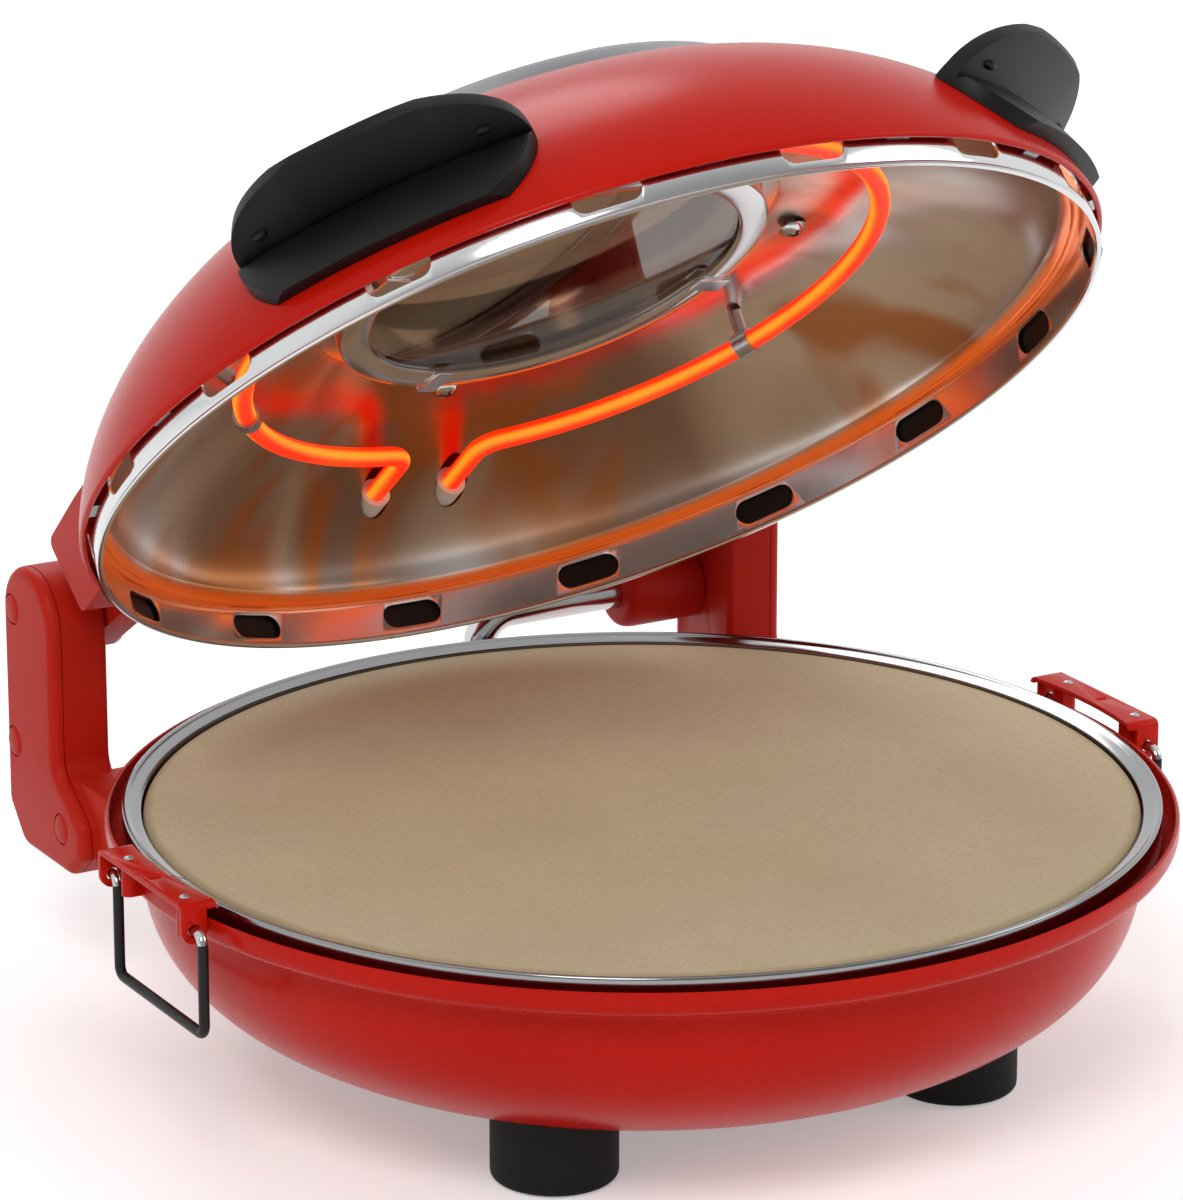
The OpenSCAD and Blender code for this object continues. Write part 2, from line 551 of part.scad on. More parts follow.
// Bail: a bent wire that hangs from the bracket's two ears; both ends point to the back
module bail_end(y, tail) {
    rod_y(y + bail_bend, tail, ear_x, ear_z, wire_r);
    translate([ear_x, y + bail_bend, ear_z - bail_bend]) rotate([0, 90, 0]) torus(bail_bend, wire_r, 180, 270);
}
module bail_corner(y, s) translate([ear_x, y + s * bail_bend, ear_z - bail_drop + bail_bend])
    rotate([0, 90, 0]) torus(bail_bend, wire_r, s > 0 ? 270 : 0, s > 0 ? 360 : 90);
module bail() {
    bail_end(bail_front, bracket_front + bracket_t + bail_tail);
    bail_end(bail_back, bracket_back + bail_tail);
    for (y = [bail_front, bail_back]) translate([ear_x, y, ear_z - bail_drop + bail_bend])
        cylinder(r = wire_r, h = bail_drop - 2 * bail_bend);
    bail_corner(bail_front, 1);
    bail_corner(bail_back, -1);
    rod_y(bail_front + bail_bend, bail_back - bail_bend, ear_x, ear_z - bail_drop, wire_r);
}
module bail_left() color("#1A1A1B") on_side(-1) bail();
module bail_right() color("#1A1A1B") bail();

// Lid shell: a painted dome with a round opening for the window
module lid_shell() color("#C4241B") in_lid() difference() {
    revolve(concat(
        dome(shell_r, shell_h, shell_z, turn_at_r(glass_r + 1.5, shell_r), turn_at_z(lip_z, shell_h)),
        [[shell_r - 0.7, lip_z - 0.3], [shell_r - shell_t, lip_z]],
        dome(shell_r - shell_t, shell_h - shell_t, shell_z,
            turn_at_z(lip_z + 1, shell_h - shell_t), turn_at_r(glass_r + 1.5, shell_r - shell_t))));
    handle_screw_places() translate([shell_r - 40, 0, 0]) rotate([0, 90, 0]) cylinder(r = lid_screw_r + 0.2, h = 60);
}

module lid_band() color("#D8DADC") in_lid() difference() {
    union() {
        revolve([[band_r - liner_t, band_z + 0.6], [band_r - liner_t, band_top], [band_r, band_top], [band_r, band_z + 0.6]]);
        translate([0, 0, band_z + 0.8]) torus(band_r - liner_t / 2, 0.8, 0, 360);
    }
    for (i = [0:slot_count - 1]) rotate([0, 0, i * 360 / slot_count - 90])
        translate([0, 0, band_z + 7.5]) along_x(band_r - 6, band_r + 6) {
            square([slot_l - slot_h, slot_h], center = true);
            for (s = [-1, 1]) translate([s * (slot_l - slot_h) / 2, 0]) circle(slot_h / 2);
        }
}

// Small pads between the band and the shell, one between each pair of slots
module lid_spacers() color("#9A9C9E") in_lid() for (i = [0:slot_count - 1])
    rotate([0, 0, (i + 0.5) * 360 / slot_count - 90]) translate([0, 0, lip_z + 1])
        revolve([[band_r + 0.05, 0], [shell_inner_r(lip_z + 1) - 0.15, 0],
            [shell_inner_r(lip_z + 3) - 0.15, 2], [band_r + 0.05, 2]], -1.5, 1.5);

function liner_curve(R, H) = dome(R, H, liner_z, turn_at_r(liner_flat_r, liner_r), 88);
module lid_reflector() color("#C2BDB8") in_lid() difference() {
    revolve(concat(
        [[liner_hole_r, liner_flat_z - liner_t], [liner_flat_r - 0.5, liner_flat_z - liner_t]],
        liner_curve(liner_r - liner_t, liner_h - liner_t),
        [[liner_r + 0.6, liner_z - 0.6], [liner_r + 1, band_top + 0.1], [band_r, band_top + 0.1],
         [band_r, band_top + 0.1 + liner_t], [liner_r + 1.8, band_top + 0.1 + liner_t], [liner_r + 0.8, liner_z + 0.4]],
        [for (i = [steps:-1:0]) liner_curve(liner_r, liner_h)[i]],
        [[liner_flat_r - 0.5, liner_flat_z], [liner_hole_r, liner_flat_z]]));
    for (s = [-1, 1]) rod_y(liner_r / 2, liner_r, s * lead_x, upper_element_z, bushing_r + 0.8);
    lid_screw_places() cylinder(r = lid_screw_r + 0.2, h = far);
}

module window_bezel() color("#DADCDE") in_lid() revolve([
    [bezel_r, bezel_z + fine], [bezel_r, bezel_z + bezel_lift - 1.4], [bezel_r - 0.5, bezel_z + bezel_lift - 0.4],
    [bezel_r - 1.6, bezel_z + bezel_lift], [glass_r + 2.5, bezel_z + bezel_lift + 1.2],
    [glass_r + 0.8, bezel_z + bezel_lift + 0.7], [glass_r + 0.2, bezel_z + bezel_lift - 0.6],
    [glass_r + 0.2, glass_z - 4], [glass_r + 1.3, glass_z - 4],
    [glass_r + 1.3, shell_top_z(glass_r + 1.3) + fine + 0.1],
    for (i = [1:5]) let (r = glass_r + 1.3 + (bezel_r - glass_r - 1.3) * i / 6) [r, shell_top_z(r) + fine + 0.1]]);

module window_glass_top() color("#BFD2D8", 0.4) in_lid() revolve([[0, glass_z], [glass_r, glass_z],
    [glass_r, glass_z + glass_t - 0.5], [glass_r - 0.5, glass_z + glass_t], [0, glass_z + glass_t + 0.8]]);

module window_sleeve() color("#B0B2B4") in_lid() revolve([[retainer_r - 1.3, liner_flat_z + 0.1],
    [glass_r + 4, liner_flat_z + 0.1], [glass_r + 4, liner_flat_z + 0.9], [retainer_r - 0.3, liner_flat_z + 0.9],
    [retainer_r - 0.3, glass_z - 0.1], [retainer_r - 1.3, glass_z - 0.1]]);

// Inner window ring: a flange under the reflector, a short wall and an inward lip, with clip tabs
module window_retainer() color("#D8DADC") in_lid() {
    top = liner_flat_z - liner_t - 0.1;
    revolve([[glass_r + 4.8, top], [glass_r + 4.8, top - 1], [retainer_r, top - 1],
        [retainer_r, retainer_z + 0.6], [retainer_r - 0.6, retainer_z], [retainer_r - 9.6, retainer_z],
        [retainer_r - 9.6, retainer_z + 1.2], [retainer_r - 1.2, retainer_z + 1.2], [retainer_r - 1.2, top]]);
    for (a = [15:90:285]) rotate([0, 0, a]) revolve([[retainer_r - 11.5, retainer_z - 1], [retainer_r + 1, retainer_z - 1],
        [retainer_r + 1, retainer_z + 5], [retainer_r - 0.1, retainer_z + 5], [retainer_r - 0.1, retainer_z + 0.1],
        [retainer_r - 11.5, retainer_z + 0.1]], -3, 3);
}

module window_glass_inner() color("#BFD2D8", 0.4) in_lid() translate([0, 0, retainer_z + 1.4])
    cylinder(r = inner_glass_r, h = glass_t);

module upper_element() color("#FF5A10") in_lid()
    translate([0, 0, upper_element_z]) element(upper_loop_r, lead_end);

module upper_element_clips() color("#B8BABC") in_lid() translate([0, 0, upper_element_z])
    element_clips(upper_loop_r, element_r + 0.5, clip_top - upper_element_z, [-90, 30, 150]);
clip_top = liner_z + (liner_h - liner_t) * pow(1 - pow((upper_loop_r + 2.4) / (liner_r - liner_t), shell_m), 1 / shell_n) - 0.2;

module upper_bushings() color("#E8E4DA") in_lid() bushings(upper_element_z, lead_wall_r - 0.6, lead_wall_r + 9.4);

module lid_screw_places() for (a = [0:90:270]) rotate([0, 0, a]) translate([lid_screw_place_r, 0, 0]) children();
lid_screw_head_z = liner_z + (liner_h - liner_t)
    * pow(1 - pow((lid_screw_place_r + 4.5) / (liner_r - liner_t), shell_m), 1 / shell_n) - 0.1;
module lid_screws() color("#C8CACC") in_lid() lid_screw_places() {
    translate([0, 0, lid_screw_head_z]) mirror([0, 0, 1]) revolve([[0, 0], [4.5, 0], [4.1, 1.1], [2.6, 2.2], [0, 2.7]]);
    translate([0, 0, lid_screw_head_z - 0.1]) cylinder(r = lid_screw_r,
        h = shell_top_z(lid_screw_place_r) - shell_t - 1.5 - lid_screw_head_z);
}

module handle_screw_places() for (s = [-1, 1], k = [-1, 1])
    rotate([0, 0, -90 + s * handle_angle + k * handle_screw_turn]) translate([0, 0, handle_screw_z]) children();

// A handle: a pad that hugs the shell, and a wing that stands out and up from it
module handle(s) in_lid() difference() {
    rotate([0, 0, -90 + s * handle_angle]) intersection() {
        translate([handle_pivot_r, 0, shell_z]) cylinder(r = handle_half_w, h = shell_h);
        union() {
            revolve(concat(
                dome(shell_r + fine, shell_h + fine, shell_z, turn_at_z(shell_z + 10, shell_h), turn_at_z(wing_root[1] - 1, shell_h)),
                [[wing_root[0] + 3, wing_root[1]]],
                dome(shell_r + 5, shell_h + 5, shell_z, turn_at_z(wing_root[1] - 6, shell_h), turn_at_z(shell_z + 12, shell_h))),
                -handle_span, handle_span);
            revolve([[wing_root[0] - 1, wing_root[1]], [wing_root[0] + 0.5, wing_root[1] - wing_t],
                [wing_root[0] + 3, wing_root[1] - wing_t], [wing_tip[0], wing_tip[1] - wing_t],
                [wing_tip[0] + 0.6, wing_tip[1] - wing_t / 2], [wing_tip[0] - 0.8, wing_tip[1] - 0.4],
                [wing_tip[0] - 2.4, wing_tip[1] - 0.6], [wing_root[0] + 2, wing_root[1] + 1]],
                -handle_span, handle_span);
        }
    }
    handle_screw_places() translate([shell_r - 40, 0, 0]) rotate([0, 90, 0])
        cylinder(r = lid_screw_r + 0.05, h = 40 - 4.8);
}
module handle_left() color("#1A1A1B") handle(-1);
module handle_right() color("#1A1A1B") handle(1);

module handle_screws() color("#A9ABAD") in_lid() handle_screw_places() rotate([0, 90, 0]) {
    translate([0, 0, shell_r - 13]) cylinder(r = lid_screw_r, h = 7.9);
    translate([0, 0, shell_r - 14.3]) cylinder(r = 3, h = 1.5);
}

// Lid arm: a blade that turns on the bolt inside the housing, and a wide foot against the shell
module lid_arm() in_lid() difference() {
    union() {
        rod_x(blade_x0, blade_x1, hinge_y, hinge_z, hub_r);
        along_x(blade_x0, blade_x1) polygon([[hinge_y, hinge_z + hub_r], [hinge_y, hinge_z - hub_r],
            [hinge_y - 38, hinge_z - 11.5], [hinge_y - 50, hinge_z - 8], [hinge_y - 50, hinge_z + 12],
            [hinge_y - 34, hinge_z + 15]]);
        along_x(blade_x0, arm_outer_x) polygon([[hinge_y - 36.5, hinge_z + 17], [hinge_y - 44, hinge_z - 12],
            [hinge_y - 95, hinge_z - 12], [hinge_y - 95, hinge_z + 19], [hinge_y - 66, hinge_z + 19]]);
    }
    rod_x(blade_x0 - 1, blade_x1 + 1, hinge_y, hinge_z, bolt_r + bolt_fit);
    shell_space(fine);
}
module lid_arm_left() color("#B02A22") on_side(-1) lid_arm();
module lid_arm_right() color("#B02A22") lid_arm();

// Moves the finished pieces so that the origin lies under the middle of the whole
module set_down() translate([0, -middle_y, 0]) children();

set_down() base_bowl();
set_down() base_pan();
set_down() pizza_stone();
set_down() rim_ring();
set_down() lower_element();
set_down() lower_element_clips();
set_down() lead_bushings();
set_down() feet();
set_down() foot_screws();
set_down() bracket_left();
set_down() bracket_right();
set_down() bracket_rivets();
set_down() arm_housing_left();
set_down() arm_housing_right();
set_down() arm_cover_left();
set_down() arm_cover_right();
set_down() arm_caps();
set_down() hinge_bolt_left();
set_down() hinge_bolt_right();
set_down() wiring_conduit();
set_down() conduit_collar();
set_down() control_box();
set_down() thermostat();
set_down() terminal_block();
set_down() pilot_lamp();
set_down() cord_gland();
set_down() thermostat_knob();
set_down() bail_left();
set_down() bail_right();
set_down() lid_shell();
set_down() lid_band();
set_down() lid_spacers();
set_down() lid_reflector();
set_down() window_bezel();
set_down() window_glass_top();
set_down() window_sleeve();
set_down() window_retainer();
set_down() window_glass_inner();
set_down() upper_element();
set_down() upper_element_clips();
set_down() upper_bushings();
set_down() lid_screws();
set_down() handle_left();
set_down() handle_right();
set_down() handle_screws();
set_down() lid_arm_left();
set_down() lid_arm_right();
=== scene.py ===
"""Electric pizza maker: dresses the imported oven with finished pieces, finishes and a studio stage."""

import math
from types import SimpleNamespace

import bpy
from mathutils import Euler, Matrix, Vector


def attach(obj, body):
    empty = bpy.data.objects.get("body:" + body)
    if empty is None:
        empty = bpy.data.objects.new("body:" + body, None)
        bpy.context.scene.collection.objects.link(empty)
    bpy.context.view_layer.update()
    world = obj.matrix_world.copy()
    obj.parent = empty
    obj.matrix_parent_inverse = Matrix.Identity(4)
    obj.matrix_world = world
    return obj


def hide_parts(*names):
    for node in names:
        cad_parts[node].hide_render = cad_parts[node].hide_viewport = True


bl_info = {
    "name": "Electric pizza maker",
    "version": (1, 0, 0),
    "blender": (4, 5, 0),
    "location": "View3D > Sidebar > Oven",
    "description": "Builds the visible pieces and finishes of a round countertop pizza oven",
    "category": "Object",
}

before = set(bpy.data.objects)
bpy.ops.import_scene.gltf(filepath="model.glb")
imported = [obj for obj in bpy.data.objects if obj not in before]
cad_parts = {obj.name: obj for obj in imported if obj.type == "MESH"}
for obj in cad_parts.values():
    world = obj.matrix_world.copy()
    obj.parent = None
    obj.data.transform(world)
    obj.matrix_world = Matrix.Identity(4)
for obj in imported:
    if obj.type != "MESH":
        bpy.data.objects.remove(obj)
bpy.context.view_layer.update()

MM = 0.001
WELD = 0.000002
IN_PLANE_MM = 0.01

# Places that several pieces share, in millimetres from the bowl's axis
RIVET_X, RIVET_PLACES = 168.6, (-23.5, 14.5)
BAIL_PIVOT = (169.0, 82.2)
CONDUIT_PLACE, CONDUIT_HOLE = (169, 92), 5.6
CONDUIT_DROP = (34, 169)
BOLT_HOLE = 4.05
TUBE_RADIUS, LEAD_X = 3.2, 14.0
UPPER_TUBE_LEVEL, LOWER_TUBE_LEVEL = 128.5, 58.0
SCREW_CIRCLE, SCREW_ANGLES = 89, (0, 90, 180, 270)

# Stage, in metres
LIGHT_AIM = (0, 0.02, 0.12)
CAMERA_PLACE, CAMERA_AIM, CAMERA_LENS = (-0.8667, -1.50945, 0.6956), (-0.013617, -0.006123, 0.149151), 177.108


# ---------------------------------------------------------------- sizes and colours


def length(name, description, default):
    """A size in millimetres."""
    return bpy.props.FloatProperty(name=name, description=description + ", mm", default=default)


def colour(name, description, default):
    """A colour as an sRGB hex value."""
    return bpy.props.StringProperty(name=name, description=description, default=default)


class OvenBaseSizes(bpy.types.PropertyGroup):
    """Sizes of the base."""

    bowl_radius: length("Bowl radius", "Radius of the bowl's body under its rim", 155.9)
    bowl_top: length("Bowl top", "Level of the bowl's widest circle", 78.0)
    bowl_depth: length("Bowl depth", "Depth below the widest circle", 69.5)
    bowl_sheet: length("Bowl sheet", "Thickness of the bowl's sheet", 1.5)
    rim_radius: length("Rim radius", "Outer radius of the flared rim", 166.3)
    rim_top: length("Rim top", "Level of the rim's upper edge", 84.6)
    stone_radius: length("Stone radius", "Radius of the baking stone", 154.5)
    stone_bottom: length("Stone bottom", "Level of the stone's underside", 76.2)
    stone_top: length("Stone top", "Level of the stone's face", 85.2)
    ring_radius: length("Ring radius", "Outer radius of the rim ring", 161.0)
    ring_top: length("Ring top", "Level of the ring's rolled lip", 87.3)
    foot_radius: length("Foot radius", "Radius of a foot", 19.4)
    setback: length("Setback", "Distance of the bowl's axis in front of the frame's origin", 13.85)
    foot_place: length("Foot place", "Distance of a foot from the bowl's axis", 100.5)


class OvenLidSizes(bpy.types.PropertyGroup):
    """Sizes of the lid as it lies closed, and the angle at which it stands open."""

    opening: bpy.props.FloatProperty(
        name="Opening", description="Angle at which the lid stands open", default=math.radians(40), subtype="ANGLE"
    )
    hinge_y: length("Hinge place", "Distance of the hinge behind the bowl's axis", 166.0)
    hinge_z: length("Hinge height", "Height of the hinge", 112.0)
    shell_radius: length("Shell radius", "Radius of the shell at its lip", 166.0)
    shell_height: length("Shell height", "Height of the shell's curve", 82.0)
    shell_base: length("Shell base", "Level where the shell's curve starts", 94.0)
    shell_sheet: length("Shell sheet", "Thickness of the shell", 1.6)
    band_radius: length("Band radius", "Outer radius of the steel band", 162.5)
    band_bottom: length("Band bottom", "Level of the band's lower edge", 88.4)
    band_height: length("Band height", "Height of the steel band", 13.2)
    liner_radius: length("Reflector radius", "Radius of the reflector dome", 155.3)
    liner_base: length("Reflector base", "Level where the reflector's curve starts", 104.5)
    liner_height: length("Reflector height", "Height of the reflector's curve", 48.0)
    glass_radius: length("Window radius", "Radius of the upper window glass", 72.2)
    bezel_radius: length("Bezel radius", "Outer radius of the window's bezel", 87.0)
    slots: bpy.props.IntProperty(
        name="Vent slots", description="Number of vent slots round the band", default=16, min=1
    )


class OvenColours(bpy.types.PropertyGroup):
    """Colours of the finishes."""

    enamel: colour("Enamel", "Red enamel of the bowl and the lid", "#C81A09")
    enamel_deep: colour("Deep enamel", "Deeper red in the enamel's thicker places", "#B41205")
    moulded: colour("Moulded red", "Red plastic of the hinge arms", "#BC2A1A")
    steel: colour("Polished steel", "Band, ring and bezel", "#D4D5D6")
    liner: colour("Reflector", "Polished reflector sheet", "#E6E0DA")
    stone: colour("Stone", "Face of the baking stone", "#D6C8A6")
    stone_edge: colour("Stone edge", "Darker edge of the baking stone", "#A99676")
    black: colour("Black plastic", "Handles and knob", "#080808")
    glow: colour("Glow", "Hottest part of the heating tube", "#FF8418")


# ---------------------------------------------------------------- small helpers


def linear(hex_colour):
    """An sRGB hex colour as linear red, green, blue and alpha."""
    parts = [int(hex_colour[i : i + 2], 16) / 255 for i in (1, 3, 5)]
    return tuple(c / 12.92 if c <= 0.04045 else ((c + 0.055) / 1.055) ** 2.4 for c in parts) + (1.0,)


def named(obj, name):
    """Names a piece and its mesh."""
    obj.name = obj.data.name = name
    return obj


def only(*objects):
    """Leaves just these objects selected, the first one active."""
    bpy.ops.object.select_all(action="DESELECT")
    for obj in objects:
        obj.select_set(True)
    bpy.context.view_layer.objects.active = objects[0]


def chain(name, points):
    """Starts a piece as a chain of edges through points in millimetres, and leaves it in edit mode."""
    bpy.ops.object.select_all(action="DESELECT")
    bpy.ops.mesh.primitive_plane_add(size=MM, location=(0, 0, 0))
    obj = named(bpy.context.object, name)
    bpy.ops.object.mode_set(mode="EDIT")
    bpy.context.tool_settings.mesh_select_mode = (True, False, False)
    bpy.ops.mesh.merge(type="CENTER")
    here = Vector(points[0]) * MM
    bpy.ops.transform.translate(value=here)
    for point in points[1:]:
        there = Vector(point) * MM
        bpy.ops.mesh.extrude_vertices_move(TRANSFORM_OT_translate={"value": there - here})
        here = there
    return obj


def close_up():
    """In edit mode: merges doubles, turns the faces outwards, and returns to object mode."""
    bpy.ops.mesh.select_all(action="SELECT")
    bpy.ops.mesh.remove_doubles(threshold=WELD)
    bpy.ops.mesh.normals_make_consistent(inside=False)
    bpy.ops.object.mode_set(mode="OBJECT")


def face_outwards(obj):
    """Turns the faces of a finished piece outwards."""
    only(obj)
    bpy.ops.object.mode_set(mode="EDIT")
    close_up()
    return obj


def settle(obj, matrix):
    """Moves a piece by a matrix, and puts that into its mesh."""
    only(obj)
    obj.matrix_world = matrix
    bpy.ops.object.transform_apply(location=True, rotation=True, scale=True)
    return obj


def place(obj, offset=(0, 0, 0), rotation=(0, 0, 0)):
    """Turns a piece about the origin by degrees, and moves it by millimetres."""
    turn = Euler([math.radians(r) for r in rotation]).to_matrix().to_4x4()
    return settle(obj, Matrix.Translation(Vector(offset) * MM) @ turn)


def open_lid(obj, sizes):
    """Lifts a piece drawn for the closed lid to where the lid stands open."""
    hinge = Vector((0, sizes.hinge_y, sizes.hinge_z)) * MM
    turn = Matrix.Rotation(-sizes.opening, 4, "X")
    return settle(obj, Matrix.Translation(hinge) @ turn @ Matrix.Translation(-hinge))


def stretched(obj, scale):
    """Stretches a piece along the axes."""
    only(obj)
    obj.scale = scale
    bpy.ops.object.transform_apply(location=True, rotation=True, scale=True)
    return obj


def soft_shade(obj, angle):
    """Smooth shading with creases kept at sharper angles."""
    only(obj)
    bpy.ops.object.shade_smooth_by_angle(angle=math.radians(angle))
    return obj


def turned(name, profile, steps=160, sweep=360.0, start=0.0, axis="Z"):
    """Turns a profile of (radius, height) pairs in millimetres about an axis, as on a lathe."""
    turn = math.radians(start)
    obj = chain(name, [(r * math.cos(turn), r * math.sin(turn), z) for r, z in profile])
    bpy.ops.mesh.select_all(action="SELECT")
    bpy.ops.mesh.spin(steps=steps, angle=-math.radians(sweep), center=(0, 0, 0), axis=(0, 0, 1))
    close_up()
    if sweep < 360:
        fill_ends(obj)
    if axis != "Z":
        place(obj, rotation={"Y": (-90, 0, 0), "X": (0, 90, 0)}[axis])
    return soft_shade(obj, 35)


def fill_ends(obj):
    """Closes the two open ends of a part-turned piece."""
    only(obj)
    bpy.ops.object.mode_set(mode="EDIT")
    bpy.ops.mesh.select_all(action="DESELECT")
    others = dict.fromkeys(("use_wire", "use_multi_face", "use_non_contiguous", "use_verts"), False)
    bpy.ops.mesh.select_non_manifold(extend=False, use_boundary=True, **others)
    bpy.ops.mesh.edge_face_add()
    close_up()


def prism(name, outline, depth, plane="XY"):
    """A closed outline of (a, b) pairs in the named plane, filled and extruded. depth is (from, to)."""
    low, high = depth
    lift = {
        "XY": lambda a, b, d: (a, b, d),
        "YZ": lambda a, b, d: (d, a, b),
        "XZ": lambda a, b, d: (a, d, b),
    }[plane]
    obj = chain(name, [lift(a, b, low) for a, b in outline + outline[:1]])
    bpy.ops.mesh.select_all(action="SELECT")
    bpy.ops.mesh.remove_doubles(threshold=WELD)
    bpy.ops.mesh.edge_face_add()
    bpy.ops.mesh.extrude_region_move(TRANSFORM_OT_translate={"value": Vector(lift(0, 0, high - low)) * MM})
    close_up()
    return obj


def block(name, low, high):
    """A rectangular block between two corners in millimetres."""
    return prism(name, [(low[0], low[1]), (high[0], low[1]), (high[0], high[1]), (low[0], high[1])], (low[2], high[2]))


def rod(name, radius, low, high, centre=(0, 0), axis="Z", vertices=64):
    """A round rod along an axis, between two levels on it. centre is its place in the other two axes."""
    bpy.ops.object.select_all(action="DESELECT")
    middle, (a, b) = (low + high) / 2, centre
    where, turn = {
        "Z": ((a, b, middle), (0, 0, 0)),
        "Y": ((a, middle, b), (math.radians(90), 0, 0)),
        "X": ((middle, a, b), (0, math.radians(90), 0)),
    }[axis]
    bpy.ops.mesh.primitive_cylinder_add(
        vertices=vertices, radius=radius * MM, depth=(high - low) * MM, location=Vector(where) * MM, rotation=turn
    )
    bpy.ops.object.transform_apply(location=True, rotation=True, scale=True)
    return named(bpy.context.object, name)


def ball(radius, centre, scale, segments):
    """A ball about a place, stretched along the axes."""
    bpy.ops.object.select_all(action="DESELECT")
    bpy.ops.mesh.primitive_uv_sphere_add(
        segments=segments, ring_count=segments // 2, radius=radius * MM, location=Vector(centre) * MM
    )
    return stretched(bpy.context.object, scale)


def wire(name, points, radius, ring=24):
    """A tube along points in millimetres, made as a curve and turned into a mesh."""
    curve = bpy.data.curves.new(name, "CURVE")
    curve.dimensions = "3D"
    curve.bevel_depth = radius * MM
    curve.bevel_resolution = ring // 4
    curve.use_fill_caps = True
    line = curve.splines.new("POLY")
    line.points.add(len(points) - 1)
    for spot, point in zip(line.points, points):
        spot.co = (point[0] * MM, point[1] * MM, point[2] * MM, 1)
    obj = bpy.data.objects.new(name, curve)
    bpy.context.scene.collection.objects.link(obj)
    only(obj)
    bpy.ops.object.convert(target="MESH")
    return soft_shade(face_outwards(bpy.context.object), 50)


def apply_modifier(obj, kind, **settings):
    """Adds a modifier with its settings and applies it."""
    only(obj)
    modifier = obj.modifiers.new(kind.title(), kind)
    for key, value in settings.items():
        setattr(modifier, key, value)
    bpy.ops.object.modifier_apply(modifier=modifier.name)


def cut(obj, *cutters, operation="DIFFERENCE"):
    """Cuts a piece with others, which are used up."""
    for cutter in cutters:
        apply_modifier(obj, "BOOLEAN", object=cutter, operation=operation, solver="EXACT")
        bpy.data.objects.remove(cutter)
    return obj


def round_edges(obj, width, segments=3, angle=35, smooth=32):
    """Rounds the sharp edges of a piece by a width in millimetres."""
    limit = {"limit_method": "ANGLE", "angle_limit": math.radians(angle)}
    apply_modifier(obj, "BEVEL", width=width * MM, segments=segments, use_clamp_overlap=True, **limit)
    return soft_shade(obj, smooth)


def round_rim(obj, side, width, segments):
    """Rounds the edges that lie in the plane x = side, by a width in millimetres."""
    only(obj)
    bpy.ops.object.mode_set(mode="EDIT")
    bpy.ops.mesh.select_mode(type="EDGE")
    bpy.ops.mesh.select_all(action="DESELECT")
    bpy.ops.object.mode_set(mode="OBJECT")
    for edge in obj.data.edges:
        edge.select = all(abs(obj.data.vertices[i].co.x / MM - side) < IN_PLANE_MM for i in edge.vertices)
    bpy.ops.object.mode_set(mode="EDIT")
    bpy.ops.mesh.bevel(offset=width * MM, segments=segments, affect="EDGES")
    bpy.ops.object.mode_set(mode="OBJECT")
    return soft_shade(obj, 40)


def copy_of(obj, name):
    """A copy with a mesh of its own."""
    twin = obj.copy()
    twin.data = obj.data.copy()
    bpy.context.scene.collection.objects.link(twin)
    return named(twin, name)


def mirrored(obj, name):
    """A copy reflected from right to left, with its faces turned outwards again."""
    return face_outwards(stretched(copy_of(obj, name), (-1, 1, 1)))


def join(name, *objects):
    """Joins pieces into the first one."""
    only(*objects)
    if len(objects) > 1:
        bpy.ops.object.join()
    return named(bpy.context.object, name)


def round_about(obj, name, angles):
    """Copies a piece round the vertical axis, and joins the copies."""
    copies = [place(copy_of(obj, name), rotation=(0, 0, a)) for a in angles]
    bpy.data.objects.remove(obj)
    return join(name, *copies)


def cross_head(profile, steps, half, reach, low, high):
    """A turned screw head with a cross cut into it."""
    slots = [block("slot", (-a, -b, low), (a, b, high)) for a, b in ((half, reach), (reach, half))]
    return cut(turned("screw", profile, steps), *slots)


def bowl_body(sizes, grown, drop):
    """The bowl as a solid, grown a little and cut off below its top, to shape its neighbours to it."""
    level = sizes.bowl_top - drop
    outside = bowl_outline(sizes.bowl_radius + grown, sizes.bowl_depth + grown, sizes.bowl_top, level, 40)
    return turned("bowl_body", outside + [(0, level)])


def dress(obj, finish, body, slot, *nodes):
    """Sets a piece back from the bowl's axis to the frame's origin, gives it its finish and body, and hides the CAD
    nodes it replaces.
    """
    place(obj, (0, -bpy.context.scene.oven_base.setback, 0))
    obj.data.materials.clear()
    obj.data.materials.append(bpy.data.materials[finish])
    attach(obj, body)
    if nodes:
        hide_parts(*nodes)
    return obj


def second_finish(obj, finish, chosen):
    """Gives a second finish to the faces whose centre, in millimetres, is chosen."""
    obj.data.materials.append(bpy.data.materials[finish])
    for face in obj.data.polygons:
        if chosen(face.center / MM):
            face.material_index = 1


# ---------------------------------------------------------------- outlines

BOWL_POWER = 2.77
DOME_POWERS = (2.9, 1.5)


def polar(radius, degrees, centre=(0, 0)):
    """A point on a circle."""
    turn = math.radians(degrees)
    return centre[0] + radius * math.cos(turn), centre[1] + radius * math.sin(turn)


def arc(centre, radius, first, last, count):
    """Points on a circle from one angle to another."""
    return [polar(radius, first + (last - first) * i / count, centre) for i in range(count + 1)]


def bowl_outline(radius, depth, top, end, count):
    """Bowl's curve from its bottom out and up to a level, as (radius, height) pairs."""
    power = 2 / BOWL_POWER
    last = math.asin(((top - end) / depth) ** (BOWL_POWER / 2))
    turns = [math.pi / 2 + (last - math.pi / 2) * i / count for i in range(count + 1)]
    return [(radius * max(0.0, math.cos(t)) ** power, top - depth * math.sin(t) ** power) for t in turns]


def dome_height(r, radius, height, base):
    """Height of a dome's surface at a radius."""
    return base + height * (1 - (r / radius) ** DOME_POWERS[0]) ** (1 / DOME_POWERS[1])


